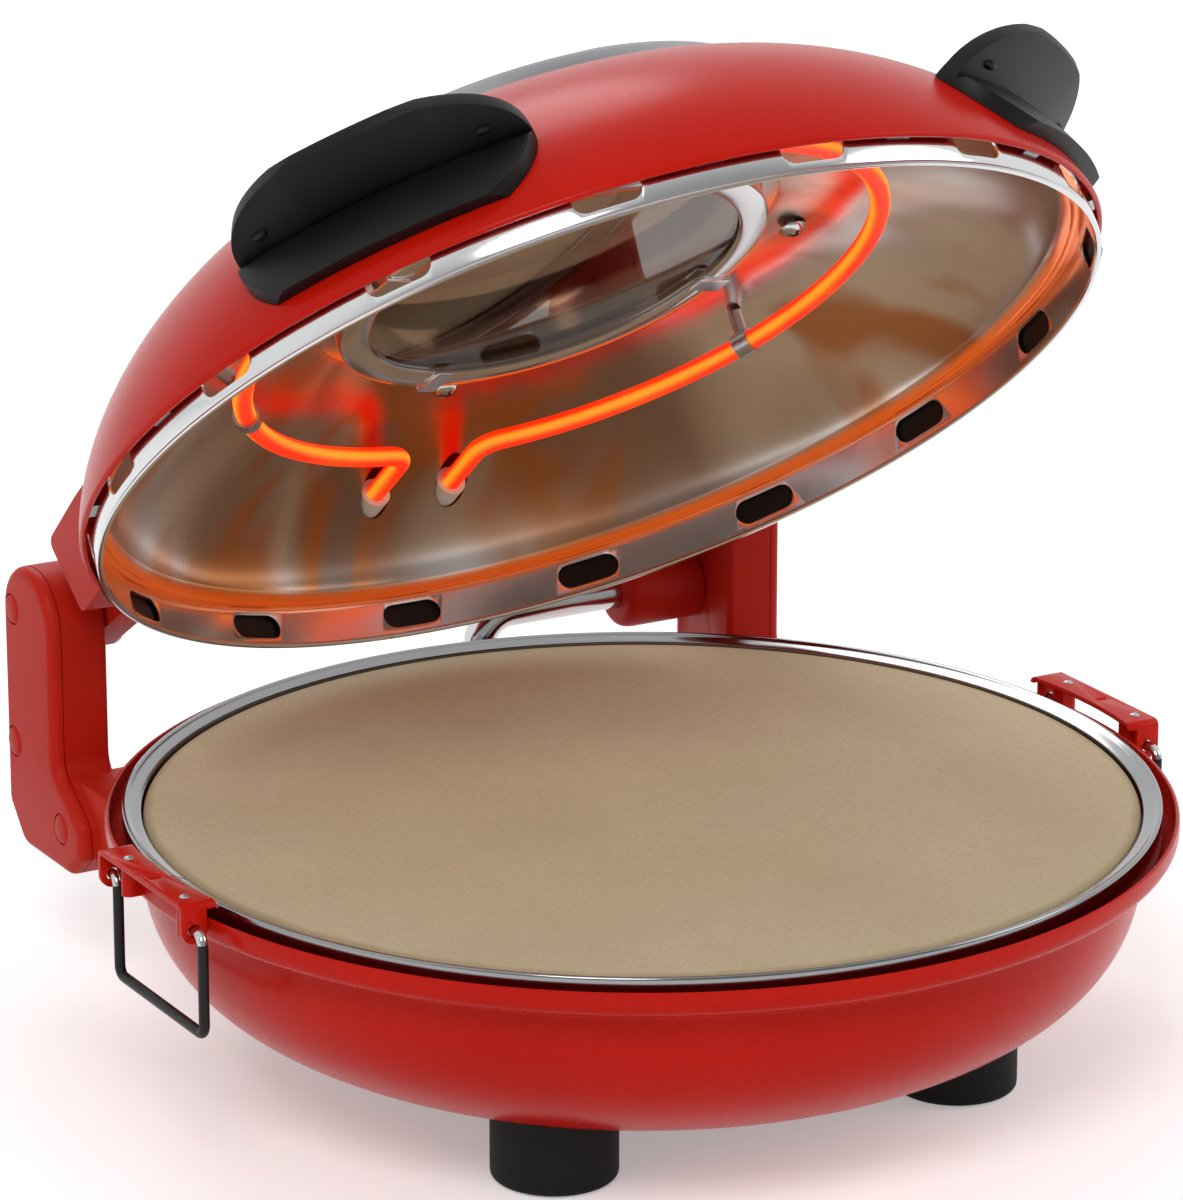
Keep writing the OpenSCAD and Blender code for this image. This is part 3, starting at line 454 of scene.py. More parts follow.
def dome_radius(z, radius, height, base):
    """Radius of a dome's surface at a height."""
    return radius * (1 - ((z - base) / height) ** DOME_POWERS[1]) ** (1 / DOME_POWERS[0])


def dome_outline(radius, height, base, inner, low, count):
    """Dome's curve from an inner radius out and down to a low level."""
    wide, tall = 2 / DOME_POWERS[0], 2 / DOME_POWERS[1]
    first = math.asin((inner / radius) ** (DOME_POWERS[0] / 2))
    last = math.acos(max(0.0, (low - base) / height) ** (DOME_POWERS[1] / 2))
    turns = [first + (last - first) * i / count for i in range(count + 1)]
    return [(radius * math.sin(t) ** wide, base + height * max(0.0, math.cos(t)) ** tall) for t in turns]


def swept(a, b, c, d, count):
    """Points on a smooth curve from a to d, drawn towards b and c."""
    out = []
    for i in range(count + 1):
        t = i / count
        w = ((1 - t) ** 3, 3 * t * (1 - t) ** 2, 3 * t * t * (1 - t), t**3)
        out.append(tuple(sum(k * p[n] for k, p in zip(w, (a, b, c, d))) for n in (0, 1)))
    return out


def rounded(points, radii, count):
    """A polygon with its corners rounded, each by its own radius."""
    out = []
    for i, (corner, radius) in enumerate(zip(points, radii)):
        q = Vector(corner)
        u = (Vector(points[i - 1]) - q).normalized()
        v = (Vector(points[(i + 1) % len(points)]) - q).normalized()
        half = u.angle(v) / 2
        centre = q + (u + v).normalized() * radius / math.sin(half)
        first, last = q + u * radius / math.tan(half) - centre, q + v * radius / math.tan(half) - centre
        sweep = math.pi - 2 * half
        for k in range(count + 1):
            a, b = math.sin(sweep * (1 - k / count)), math.sin(sweep * k / count)
            spot = centre + (first * a + last * b) / math.sin(sweep)
            out.append((spot.x, spot.y))
    return out


def element_path(loop, level, lead_end, bend=8.0):
    """A round loop whose two ends bend out into leads along +Y."""
    bend_x = LEAD_X + bend
    bend_y = math.sqrt((loop + bend) ** 2 - bend_x**2)
    turn = math.degrees(math.atan2(bend_y, bend_x))
    path = [(-LEAD_X, lead_end)] + arc((-bend_x, bend_y), bend, 0, -turn, 10)
    path += arc((0, 0), loop, 180 - turn, 360 + turn, 120)[1:-1]
    path += arc((bend_x, bend_y), bend, 180 + turn, 180, 10) + [(LEAD_X, lead_end)]
    return [(x, y, level) for x, y in path]


# ---------------------------------------------------------------- finishes


def add(tree, kind, inputs=None, **settings):
    """Adds a node to a tree. A value in inputs that is a socket is linked, and any other is set."""
    made = tree.nodes.new(kind)
    for key, value in settings.items():
        setattr(made, key, value)
    for key, value in (inputs or {}).items():
        if isinstance(value, bpy.types.NodeSocket):
            tree.links.new(value, made.inputs[key])
        else:
            made.inputs[key].default_value = value
    return made


def place_in(tree):
    """Object coordinates."""
    return add(tree, "ShaderNodeTexCoord").outputs["Object"]


def noise(tree, spot, scale, detail, **more):
    """Noise at a place."""
    inputs = {"Vector": spot, "Scale": scale, "Detail": detail, **more}
    return add(tree, "ShaderNodeTexNoise", inputs).outputs["Fac"]


def ranged(tree, value, low, high, start=0.0, end=1.0, smooth=False):
    """Carries a value from between start and end to between low and high."""
    inputs = {"Value": value, "From Min": start, "From Max": end, "To Min": low, "To Max": high}
    kind = "SMOOTHSTEP" if smooth else "LINEAR"
    return add(tree, "ShaderNodeMapRange", inputs, interpolation_type=kind).outputs["Result"]


def blend(tree, factor, first, second):
    """Mixes two colours, each a hex value or a socket."""
    pair = [linear(c) if isinstance(c, str) else c for c in (first, second)]
    return add(tree, "ShaderNodeMix", {"Factor": factor, 6: pair[0], 7: pair[1]}, data_type="RGBA").outputs[2]


def sums(tree, operation, *values, clamp=False):
    """One sum on up to three values."""
    return add(tree, "ShaderNodeMath", dict(enumerate(values)), operation=operation, use_clamp=clamp).outputs[0]


def vector(tree, **parts):
    """A vector from its parts."""
    return add(tree, "ShaderNodeCombineXYZ", parts).outputs["Vector"]


def bump(tree, height, strength, distance, **more):
    """Relief from a height. distance is in millimetres."""
    inputs = {"Height": height, "Strength": strength, "Distance": distance * MM, **more}
    return add(tree, "ShaderNodeBump", inputs).outputs["Normal"]


def blank(name):
    """A new material with an empty tree."""
    material = bpy.data.materials.new(name)
    material.use_nodes = True
    material.node_tree.nodes.clear()
    return material


def surface(tree, inputs):
    """Ends a tree with the shader that carries the finish."""
    shader = add(tree, "ShaderNodeBsdfPrincipled", inputs)
    add(tree, "ShaderNodeOutputMaterial", {"Surface": shader.outputs[0]})


def ring_coordinates(tree, on_lid):
    """Object coordinates about the bowl's or the closed lid's axis: the place, its height, radius and flat part."""
    lid, base = bpy.context.scene.oven_lid, bpy.context.scene.oven_base
    hinge, back = Vector((0, lid.hinge_y, lid.hinge_z)) * MM, Vector((0, base.setback, 0)) * MM
    angle = lid.opening if on_lid else 0.0
    middle = Matrix.Rotation(angle, 3, "X") @ (back - hinge) + hinge
    mapping = {"Vector": place_in(tree), "Location": middle, "Rotation": (angle, 0, 0)}
    spot = add(tree, "ShaderNodeMapping", mapping).outputs["Vector"]
    parts = add(tree, "ShaderNodeSeparateXYZ", {"Vector": spot})
    flat = vector(tree, X=parts.outputs["X"], Y=parts.outputs["Y"])
    radius = add(tree, "ShaderNodeVectorMath", {0: flat}, operation="LENGTH").outputs["Value"]
    return SimpleNamespace(spot=spot, height=parts.outputs["Z"], radius=radius, flat=flat)


def painted(name, colour, deep, rough, grain_mm, grain_depth):
    """A red coating: a slow drift between two reds, and a fine grain in its gloss and relief."""
    tree = blank(name).node_tree
    spot = place_in(tree)
    shade = blend(tree, noise(tree, spot, 14.0, 2.0), colour, deep)
    grain = noise(tree, spot, 1000 / grain_mm, 2.0)
    gloss = ranged(tree, grain, rough - 0.03, rough + 0.04)
    relief = bump(tree, grain, 0.09, grain_depth)
    look = {"Base Color": shade, "Roughness": gloss, "Normal": relief}
    surface(tree, look | {"IOR": 1.5, "Specular IOR Level": 0.11})


def polished(name, colour, rough, line_mm, line_depth, on_lid, cloud=0.05):
    """Polished sheet metal: fine lines round the axis from the lathe or the polishing wheel, and faint clouds."""
    tree = blank(name).node_tree
    at = ring_coordinates(tree, on_lid)
    lines = noise(tree, vector(tree, X=at.radius, Y=at.height), 1000 / line_mm, 3.0)
    dull = ranged(tree, noise(tree, at.spot, 22.0, 3.0), rough, rough + cloud, 0.3, 0.7)
    gloss = sums(tree, "MULTIPLY_ADD", lines, 0.05, dull)
    relief = bump(tree, lines, 0.25, line_depth)
    surface(tree, {"Base Color": linear(colour), "Metallic": 1.0, "Roughness": gloss, "Normal": relief})


def sheet_with_painted_reflections(name, colour, rough):
    """Bright reflector sheet with painted reflections: streaks of brown and straw that run outwards, a painted orange
    glow in the cove, and soft pressed waves.
    """
    tree = blank(name).node_tree
    at = ring_coordinates(tree, True)
    around = add(tree, "ShaderNodeVectorMath", {0: at.flat}, operation="NORMALIZE").outputs["Vector"]
    lift = vector(tree, Z=sums(tree, "MULTIPLY", at.radius, 7.0))
    fan = add(tree, "ShaderNodeVectorMath", {0: around, 1: lift}, operation="ADD").outputs["Vector"]
    broad = noise(tree, fan, 1.5, 1.5, Distortion=0.6)
    narrow = noise(tree, fan, 2.3, 2.0, Distortion=0.8)
    cove = ranged(tree, at.radius, 0.0, 0.9, 0.1540, 0.1562, smooth=True)
    # Painted reflections: brown and straw streaks and an orange cove stand in for the stone and the glowing tube seen
    # in the sheet
    shade = blend(tree, ranged(tree, broad, 0.0, 0.78, 0.42, 0.6, smooth=True), colour, "#7C5238")
    shade = blend(tree, ranged(tree, narrow, 0.0, 0.8, 0.44, 0.62, smooth=True), shade, "#C87A34")
    shade = blend(tree, cove, shade, "#F08A3C")
    gloss = ranged(tree, broad, rough + 0.04, rough + 0.16, 0.3, 0.7)
    wavy = bump(tree, noise(tree, fan, 2.6, 0.5), 0.5, 7.0)
    lines = noise(tree, vector(tree, X=at.radius, Y=at.height), 900.0, 2.0)
    relief = bump(tree, lines, 0.2, 0.03, Normal=wavy)
    look = {"Base Color": shade, "Metallic": 1.0, "Roughness": gloss, "Normal": relief}
    # Painted reflection: the cove glows as a thin orange line in place of the tube's light thrown back
    line = sums(tree, "MULTIPLY", cove, 0.32)
    surface(tree, look | {"Emission Color": linear("#FF5A18"), "Emission Strength": line})


def plain_metal(name, colour, rough, grain_mm):
    """Plain plated steel, with a fine uneven gloss."""
    tree = blank(name).node_tree
    grain = noise(tree, place_in(tree), 1000 / grain_mm, 3.0)
    gloss = ranged(tree, grain, rough - 0.06, rough + 0.1)
    surface(tree, {"Base Color": blend(tree, grain, colour, "#9C9D9F"), "Metallic": 1.0, "Roughness": gloss})


def fired_stone(name, face, edge, radius):
    """Cordierite: a fine sandy grain with darker and paler specks, turning darker towards its rounded edge."""
    tree = blank(name).node_tree
    at = ring_coordinates(tree, False)
    moved = sums(tree, "MULTIPLY_ADD", noise(tree, at.spot, 60.0, 3.0), 0.0025, at.radius)
    edge_darkening = ranged(tree, moved, 0.0, 1.0, (radius - 2.6) * MM, (radius + 0.6) * MM, smooth=True)
    sand = noise(tree, at.spot, 900.0, 4.0, Roughness=0.7)
    warm = blend(tree, noise(tree, at.spot, 18.0, 4.0), face, "#BFAD8B")
    grainy = blend(tree, ranged(tree, sand, 0.0, 1.0, 0.36, 0.66), "#A8977A", warm)
    shade = blend(tree, edge_darkening, blend(tree, 0.55, grainy, warm), edge)
    surface(tree, {"Base Color": shade, "Roughness": 0.82, "Normal": bump(tree, sand, 0.5, 0.25), "IOR": 1.5})


def moulded(name, colour, rough, grain_mm, grain_depth, pale="#303030"):
    """Moulded plastic or rubber: the mould's fine spark texture, and a faint paler bloom."""
    tree = blank(name).node_tree
    spot = place_in(tree)
    shade = blend(tree, ranged(tree, noise(tree, spot, 35.0, 4.0), 0.0, 0.16, 0.45, 0.8), colour, pale)
    grain = noise(tree, spot, 1000 / grain_mm, 3.0, Roughness=0.6)
    gloss = ranged(tree, grain, rough - 0.06, rough + 0.06)
    look = {"Base Color": shade, "Roughness": gloss, "Normal": bump(tree, grain, 0.5, grain_depth)}
    surface(tree, look | {"IOR": 1.5, "Specular IOR Level": 0.24})


def glowing_tube(name, colour, level, on_lid):
    """Heating tube at red heat: brightest along its underside, redder towards its edges, with slow patches."""
    tree = blank(name).node_tree
    at = ring_coordinates(tree, on_lid)
    away = sums(tree, "ABSOLUTE", sums(tree, "SUBTRACT", at.height, (level - 0.9) * MM))
    side = ranged(tree, away, 1.0, 0.0, 0.1 * MM, 2.2 * MM, smooth=True)
    patch = sums(tree, "MULTIPLY_ADD", noise(tree, at.spot, 30.0, 2.0), 0.5, -0.25)
    shade = blend(tree, sums(tree, "ADD", side, patch, clamp=True), "#E82000", colour)
    look = {"Base Color": linear("#5A2A18"), "Roughness": 0.55}
    surface(tree, look | {"Emission Color": shade, "Emission Strength": 1.5})


def clear_glass(name):
    """Tempered window glass: tinted bronze, with a very faint haze."""
    tree = blank(name).node_tree
    gloss = ranged(tree, noise(tree, place_in(tree), 40.0, 3.0), 0.0, 0.04)
    surface(tree, {"Base Color": linear("#AC9684"), "Roughness": gloss, "Transmission Weight": 1.0, "IOR": 1.47})


CAD_FINISHES = {
    "base_pan": "Reflector pan, plain aluminised sheet",
    "lower_element_clips": "Plated steel fittings",
    "lead_bushings": "Ceramic bushing",
    "foot_screws": "Plated steel fittings",
    "thermostat": "Pale phenolic moulding",
    "terminal_block": "Pale phenolic moulding",
    "lid_spacers": "Plated steel fittings",
    "upper_element_clips": "Plated steel fittings",
    "upper_bushings": "Ceramic bushing",
    "handle_screws": "Plated steel fittings",
}


class OVEN_OT_finishes(bpy.types.Operator):
    """Makes every finish, and gives the plain ones to the CAD nodes that stay."""

    bl_idname = "oven.finishes"
    bl_label = "Finishes"

    def execute(self, context):
        colours, base = context.scene.oven_colours, context.scene.oven_base
        # Baked enamel on sheet steel: glossy under a soft orange peel, about 1.5 mm from wave to wave
        painted("Red enamel", colours.enamel, colours.enamel_deep, 0.26, 1.6, 0.03)
        # Moulded ABS: duller than the enamel, with the mould's spark texture, drawn 0.5 mm coarse so that it shows
        painted("Red moulded ABS", colours.moulded, colours.enamel_deep, 0.42, 0.5, 0.02)
        # Mirror-polished stainless sheet, with the polishing wheel's fine lines
        polished("Polished steel, base", colours.steel, 0.1, 0.8, 0.012, False)
        polished("Polished steel, lid", colours.steel, 0.1, 0.8, 0.012, True)
        # The rim ring and the bezel get darker copies of the polished steel: painted dark reflections
        polished("Polished steel, rim ring, painted dark reflection", "#8F9092", 0.08, 0.8, 0.012, False)
        polished("Polished steel, bezel, painted dark reflection", "#A6A7A9", 0.12, 1.1, 0.02, True)
        # Bright aluminium dome with painted reflections in brown, straw and orange, over a duller aluminised pan
        sheet_with_painted_reflections("Reflector dome, polished aluminium", colours.liner, 0.17)
        polished("Reflector pan, plain aluminised sheet", "#B9BABB", 0.32, 1.2, 0.02, False)
        # Zinc on small fittings is soft and uneven, and bare wire is brighter
        plain_metal("Plated steel fittings", "#C6C8CA", 0.28, 0.9)
        plain_metal("Bare steel wire", "#E2E3E4", 0.14, 1.5)
        # Unglazed stone: sandy and matt
        fired_stone("Cordierite stone", colours.stone, colours.stone_edge, base.stone_radius)
        # Rubber is the dullest black, nylon and powder coat catch more light
        moulded("Rubber feet", "#0A0A0B", 0.68, 0.7, 0.04)
        moulded("Black nylon", colours.black, 0.46, 0.6, 0.03)
        moulded("Black powder coat", "#151516", 0.42, 0.8, 0.03)
        # Pale insulating mouldings and ceramic
        moulded("Pale phenolic moulding", "#D9D2C0", 0.5, 0.8, 0.02, "#F2EEE4")
        moulded("Ceramic bushing", "#E9E5DB", 0.55, 0.5, 0.03, "#FFFDF6")
        # Glossy amber lens and matt white ink
        moulded("Amber lamp lens", "#E2701C", 0.12, 2.0, 0.01, "#FFC27A")
        moulded("White marking", "#E8E8E6", 0.5, 0.6, 0.01, "#FFFFFF")
        # Sheathed tubes at red heat, each with its own level as the middle of the glow
        glowing_tube("Heating tube, upper", colours.glow, UPPER_TUBE_LEVEL, True)
        glowing_tube("Heating tube, lower", colours.glow, LOWER_TUBE_LEVEL, False)
        # Bronze tint darkens the window against the white studio
        clear_glass("Window glass")
        for name, finish in CAD_FINISHES.items():
            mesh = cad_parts[name].data
            mesh.materials.clear()
            mesh.materials.append(bpy.data.materials[finish])
        return {"FINISHED"}


# ---------------------------------------------------------------- base


class OVEN_OT_bowl(bpy.types.Operator):
    """Bowl of enamelled sheet with its flared rim, and the bosses that carry the side brackets."""

    bl_idname = "oven.bowl"
    bl_label = "Bowl"

    def execute(self, context):
        s = context.scene.oven_base
        rim, top, sheet, flare = s.rim_radius, s.rim_top, s.bowl_sheet, s.bowl_top - 5.6
        outer = bowl_outline(s.bowl_radius, s.bowl_depth, s.bowl_top, flare, 56)
        r, z = outer[-1]
        outside = swept((r, z), (r + 0.4, z + 3.6), (rim - 0.6, z + 2.2), (rim, top - 4.6), 12)[1:]
        # A rolled edge that catches the light
        lip = [(rim, top - 1.3), (rim - 0.15, top - 0.45), (rim - 0.75, top), (rim - 1.25, top - 0.3)]
        lip.append((rim - sheet, top - 1.0))
        inside = [(x - sheet, y + 0.55) for x, y in reversed(outside)]
        inner = bowl_outline(s.bowl_radius - sheet, s.bowl_depth - sheet, s.bowl_top, flare + 0.4, 56)
        bowl = turned("bowl", outer + outside + lip + inside + inner[::-1], 192)
        bosses, root, nose = [], 160, 2.5
        for y in RIVET_PLACES:
            outline = [(root, y - nose)] + arc((RIVET_X, y), nose, -90, 90, 12) + [(root, y + nose)]
            boss = prism("boss", outline, (s.bowl_top + 1, 88.97))
            bosses.append(cut(boss, rod("clear", rim - 0.7, 70, 95, vertices=160)))
        bosses += [mirrored(b, "boss") for b in bosses]
        dress(join("bowl", bowl, *bosses), "Red enamel", "base", "red_paint", "base_bowl")
        return {"FINISHED"}


class OVEN_OT_ring_and_stone(bpy.types.Operator):
    """Polished rim ring with its seam, and the baking stone inside it."""

    bl_idname = "oven.ring_and_stone"
    bl_label = "Ring and stone"

    def execute(self, context):
        s = context.scene.oven_base
        out, inn, top, face, foot = s.ring_radius, s.stone_radius + 0.6, s.ring_top, s.stone_top, 77.2
        profile = [(out - 0.9, foot), (out, foot), (out, top - 0.9), (out - 0.12, top - 0.4), (out - 0.45, top - 0.08)]
        profile += [(out - 0.9, top), (out - 1.4, top - 0.15), (out - 2.0, top - 0.55)]
        slope = (out - 2.4, top - 0.8), (out - 3.5, top - 1.2), (inn + 1.2, face + 0.55), (inn + 0.25, face + 0.1)
        profile += swept(*slope, 6)
        profile += [(inn, face - 0.15), (inn, face - 1.7), (inn + 0.8, face - 1.7), (inn + 0.9, face - 0.7)]
        profile += [(out - 2.4, top - 1.75), (out - 1.2, top - 1.3), (out - 0.9, top - 1.8), (out - 0.9, foot)]
        ring = turned("rim_ring_polished", profile, 200)
        cut(ring, block("seam", (-162, 2.0, 76), (-153, 2.8, 89)))
        dress(soft_shade(ring, 35), "Polished steel, rim ring, painted dark reflection", "base", "chrome", "rim_ring")

        r, low = s.stone_radius, s.stone_bottom
        edge = swept((r, face - 2.8), (r, face - 0.7), (r - 0.9, face), (r - 2.8, face), 8)
        profile = [(0, low), (r - 0.9, low), (r - 0.2, low + 0.25), (r, low + 1)] + edge + [(r - 12, face), (0, face)]
        dress(turned("baking_stone", profile, 200), "Cordierite stone", "base", "stone", "pizza_stone")
        return {"FINISHED"}


class OVEN_OT_feet(bpy.types.Operator):
    """Four rubber feet, shaped to the bowl on top."""

    bl_idname = "oven.feet"
    bl_label = "Feet"

    def execute(self, context):
        s = context.scene.oven_base
        r, bore, hole, seat = s.foot_radius, 5.7, 2.6, 5
        profile = [(bore, 0)] + swept((r - 2.2, 0), (r - 0.9, 0), (r, 0.9), (r, 2.2), 5)
        profile += [(r, 40), (hole, 40), (hole, seat), (bore, seat), (bore, 0)]
        feet = []
        for angle in (45, 135, 225, 315):
            foot = place(turned("foot", profile, 64), (*polar(s.foot_place, angle), 0))
            feet.append(cut(foot, bowl_body(s, 0.1, 10)))
        dress(soft_shade(join("rubber_feet", *feet), 35), "Rubber feet", "base", "rubber", "feet")
        return {"FINISHED"}


class OVEN_OT_brackets(bpy.types.Operator):
    """Side brackets bent from sheet, their rivets, and the wire bails that hang from them."""

    bl_idname = "oven.brackets"
    bl_label = "Side brackets and bails"

    def execute(self, context):
        top, low, front, back, thick, inner, outer = 90.6, 77.0, -30.6, 26.9, 1.6, 150, 173.1
        pivot_x, pivot_z = BAIL_PIVOT
        sheet = [(front, low), (front, top), (back, top), (back, low), (back - thick, low), (back - thick, top - thick)]
        sheet += [(front + thick, top - thick), (front + thick, low)]
        sheet = rounded(sheet, [0.1, 2.2, 2.2, 0.1, 0.1, 0.7, 0.7, 0.1], 4)
        bracket = prism("bracket", sheet, (inner, outer), "YZ")
        ear = arc((169, pivot_z), 4.1, 0, -180, 12)
        face = [(inner, 92), (outer, 92)] + ear + [(164.9, 88.4), (inner, 88.4)]
        cut(bracket, prism("face", face, (front - 5, back + 5), "XZ"), operation="INTERSECT")
        hole = rod("hole", 2.0, front - 2, back + 2, BAIL_PIVOT, "Y", 32)
        cut(bracket, rod("arc", 164.4, 60, 110, vertices=256), hole)
        cut(bracket, ball(2.6, (168.8, -4.8, top + 1.9), (1.5, 0.8, 1), 32))
        round_edges(bracket, 0.28, 2, 40)
        left = mirrored(bracket, "bracket_sheet_left")
        dress(named(bracket, "bracket_sheet_right"), "Red enamel", "base", "red_paint", "bracket_right")
        dress(left, "Red enamel", "base", "red_paint", "bracket_left")
        soft_shade(left, 32)

        button = [(0, 0.75), (0.7, 0.7), (1.3, 0.45), (1.6, 0.1), (1.6, -0.4), (0, -0.4)]
        rivet = [(r, top + z) for r, z in button]
        heads = [place(turned("rivet", rivet, 32), (RIVET_X, y, 0)) for y in RIVET_PLACES]
        heads += [mirrored(h, "rivet") for h in heads]
        dress(join("bracket_rivet_heads", *heads), "Plated steel fittings", "base", "steel", "bracket_rivets")

        bend, front_leg, back_leg = 3.2, -36.0, 22.0
        high, foot = pivot_z - bend, pivot_z - 31.0 + bend
        path = [(back + 3.0, pivot_z)] + arc((back_leg + bend, high), bend, 90, 180, 8)
        path += arc((back_leg - bend, foot), bend, 0, -90, 8) + arc((front_leg + bend, foot), bend, -90, -180, 8)
        path += arc((front_leg + bend, high), bend, 180, 90, 8) + [(front + thick + 1.5, pivot_z)]
        for side, name in ((-1, "bail_left"), (1, "bail_right")):
            bail = wire(name + "_wire", [(side * pivot_x, y, z) for y, z in path], 1.65)
            dress(bail, "Black powder coat", name, "black_wire", name)
            second_finish(bail, "Bare steel wire", lambda c: c.z > pivot_z - 2.2)
        return {"FINISHED"}


class OVEN_OT_hinge_arms(bpy.types.Operator):
    """Hinge arm housings with their covers, plug caps and bolts, and the conduit on the right arm."""

    bl_idname = "oven.hinge_arms"
    bl_label = "Hinge arms"

    inner, width, wall, cover = 115.6, 16.1, 2.4, 4.4
    top, front, back, bottom = 136.5, 141.0, 177.2, 41.5

    def outline(self, inset):
        """Side view of an arm as (y, z) corners."""
        f, k, t, b = self.front + inset, self.back, self.top - inset, self.bottom
        corners = [(k - inset, t), (k - inset, b + 12.5), (k - 11.2, b + inset), (f - inset - 10, b + inset)]
        corners += [(f - 20, b + 8.5), (f - 19, b + 18.5 - inset / 2), (f, b + 32.5), (f, t)]
        return rounded(corners, [16 - inset, 6, 8, 6, 5, 6, 8, 18 - inset], 9)

    def execute(self, context):
        s, lid = context.scene.oven_base, context.scene.oven_lid
        hinge = (lid.hinge_y, lid.hinge_z)
        x0, x1 = self.inner, self.inner + self.width
        seam, face = x1 + 0.15, x1 + self.cover
        housing = round_rim(prism("housing", self.outline(0), (x0, x1), "YZ"), x0, 2.2, 4)
        lug = block("lug", (104, 78, 50), (x1 - 2, self.front + 1, 71.5))
        cut(housing, round_edges(lug, 1.2, 2), operation="UNION")
        hollow = prism("hollow", self.outline(self.wall), (x0 + self.wall, x1 + 1), "YZ")
        cut(housing, hollow, bowl_body(s, 0.15, 2), rod("bolt_hole", BOLT_HOLE, x0 - 1, x0 + 4, hinge, "X"))
        left = mirrored(housing, "arm_housing_shell_left")
        cut(housing, rod("conduit_hole", CONDUIT_HOLE, x0 - 1, x0 + 4, CONDUIT_PLACE, "X"))
        for piece, side in ((housing, "right"), (left, "left")):
            round_edges(named(piece, "arm_housing_shell_" + side), 0.35, 2, 50, 40)
            dress(piece, "Red moulded ABS", "base", "red_plastic", "arm_housing_" + side)

        cover = round_rim(prism("cover", self.outline(0), (seam, face), "YZ"), face, 3.2, 6)
        round_rim(cover, seam, 0.35, 2)
        caps = []
        for spot in ((169.5, 120.7), (170.4, 75.6), (136.0, 56.0)):
            cap = [(0, 0.6), (3.2, 0.5), (4.3, 0.2), (4.9, -0.4), (4.9, -1.8), (0, -1.8)]
            caps.append(place(turned("cap", cap, 48, axis="X"), (face, *spot)))
            cut(cover, rod("cap_seat", 5.2, face - 1.7, face + 5, spot, "X", 48))
        caps = join("plug_caps_right", *caps)

        # The bolt's dome head carries a hexagon socket
        start, shank, end = x0 - 12.3, 4.0, 28.2
        bolt = [(0, -3.2), (2.4, -3.1), (4.5, -2.9), (6.6, -1.6), (7.0, 0), (shank, 0), (shank, end), (0, end)]
        bolt = place(turned("bolt", bolt, 48, axis="X"), (start, *hinge))
        cut(bolt, rod("hex", 2.6, start - 4, start - 1.2, hinge, "X", 6))
        for piece, part, node, finish, slot in (
            (cover, "arm_cover_shell", "arm_cover", "Red moulded ABS", "red_plastic"),
            (bolt, "hinge_bolt_steel", "hinge_bolt", "Plated steel fittings", "steel"),
        ):
            twin = mirrored(piece, part + "_left")
            named(piece, part + "_right")
            for one, side in ((piece, "_right"), (twin, "_left")):
                dress(soft_shade(one, 40), finish, "base", slot, node + side)
        caps = join("plug_caps", caps, mirrored(caps, "plug_caps_left"))
        dress(soft_shade(caps, 40), "Red moulded ABS", "base", "red_plastic", "arm_caps")

        (y, z), (drop_x, drop_y), bend = CONDUIT_PLACE, CONDUIT_DROP, 12
        elbow = [(a, y, b) for a, b in arc((drop_x + bend, z - bend), bend, 90, 180, 10)]
        conduit = wire("conduit_tube", [(117.5, y, z)] + elbow + [(drop_x, drop_y, 66)], 5.5, ring=40)
        dress(conduit, "Polished steel, base", "base", "chrome", "wiring_conduit")
        bore, near, far = CONDUIT_HOLE, 86.6, 115.5
        collar = [(bore, near)] + swept((9.0, near), (11.2, near + 0.2), (12.3, near + 1.3), (12.5, near + 4.4), 6)
        collar += [(12.5, far - 0.5), (12.1, far), (bore, far), (bore, near)]
        collar = place(turned("conduit_end_collar", collar, 72, axis="X"), (0, y, z))
        dress(collar, "Red moulded ABS", "base", "red_plastic", "conduit_collar")
        return {"FINISHED"}


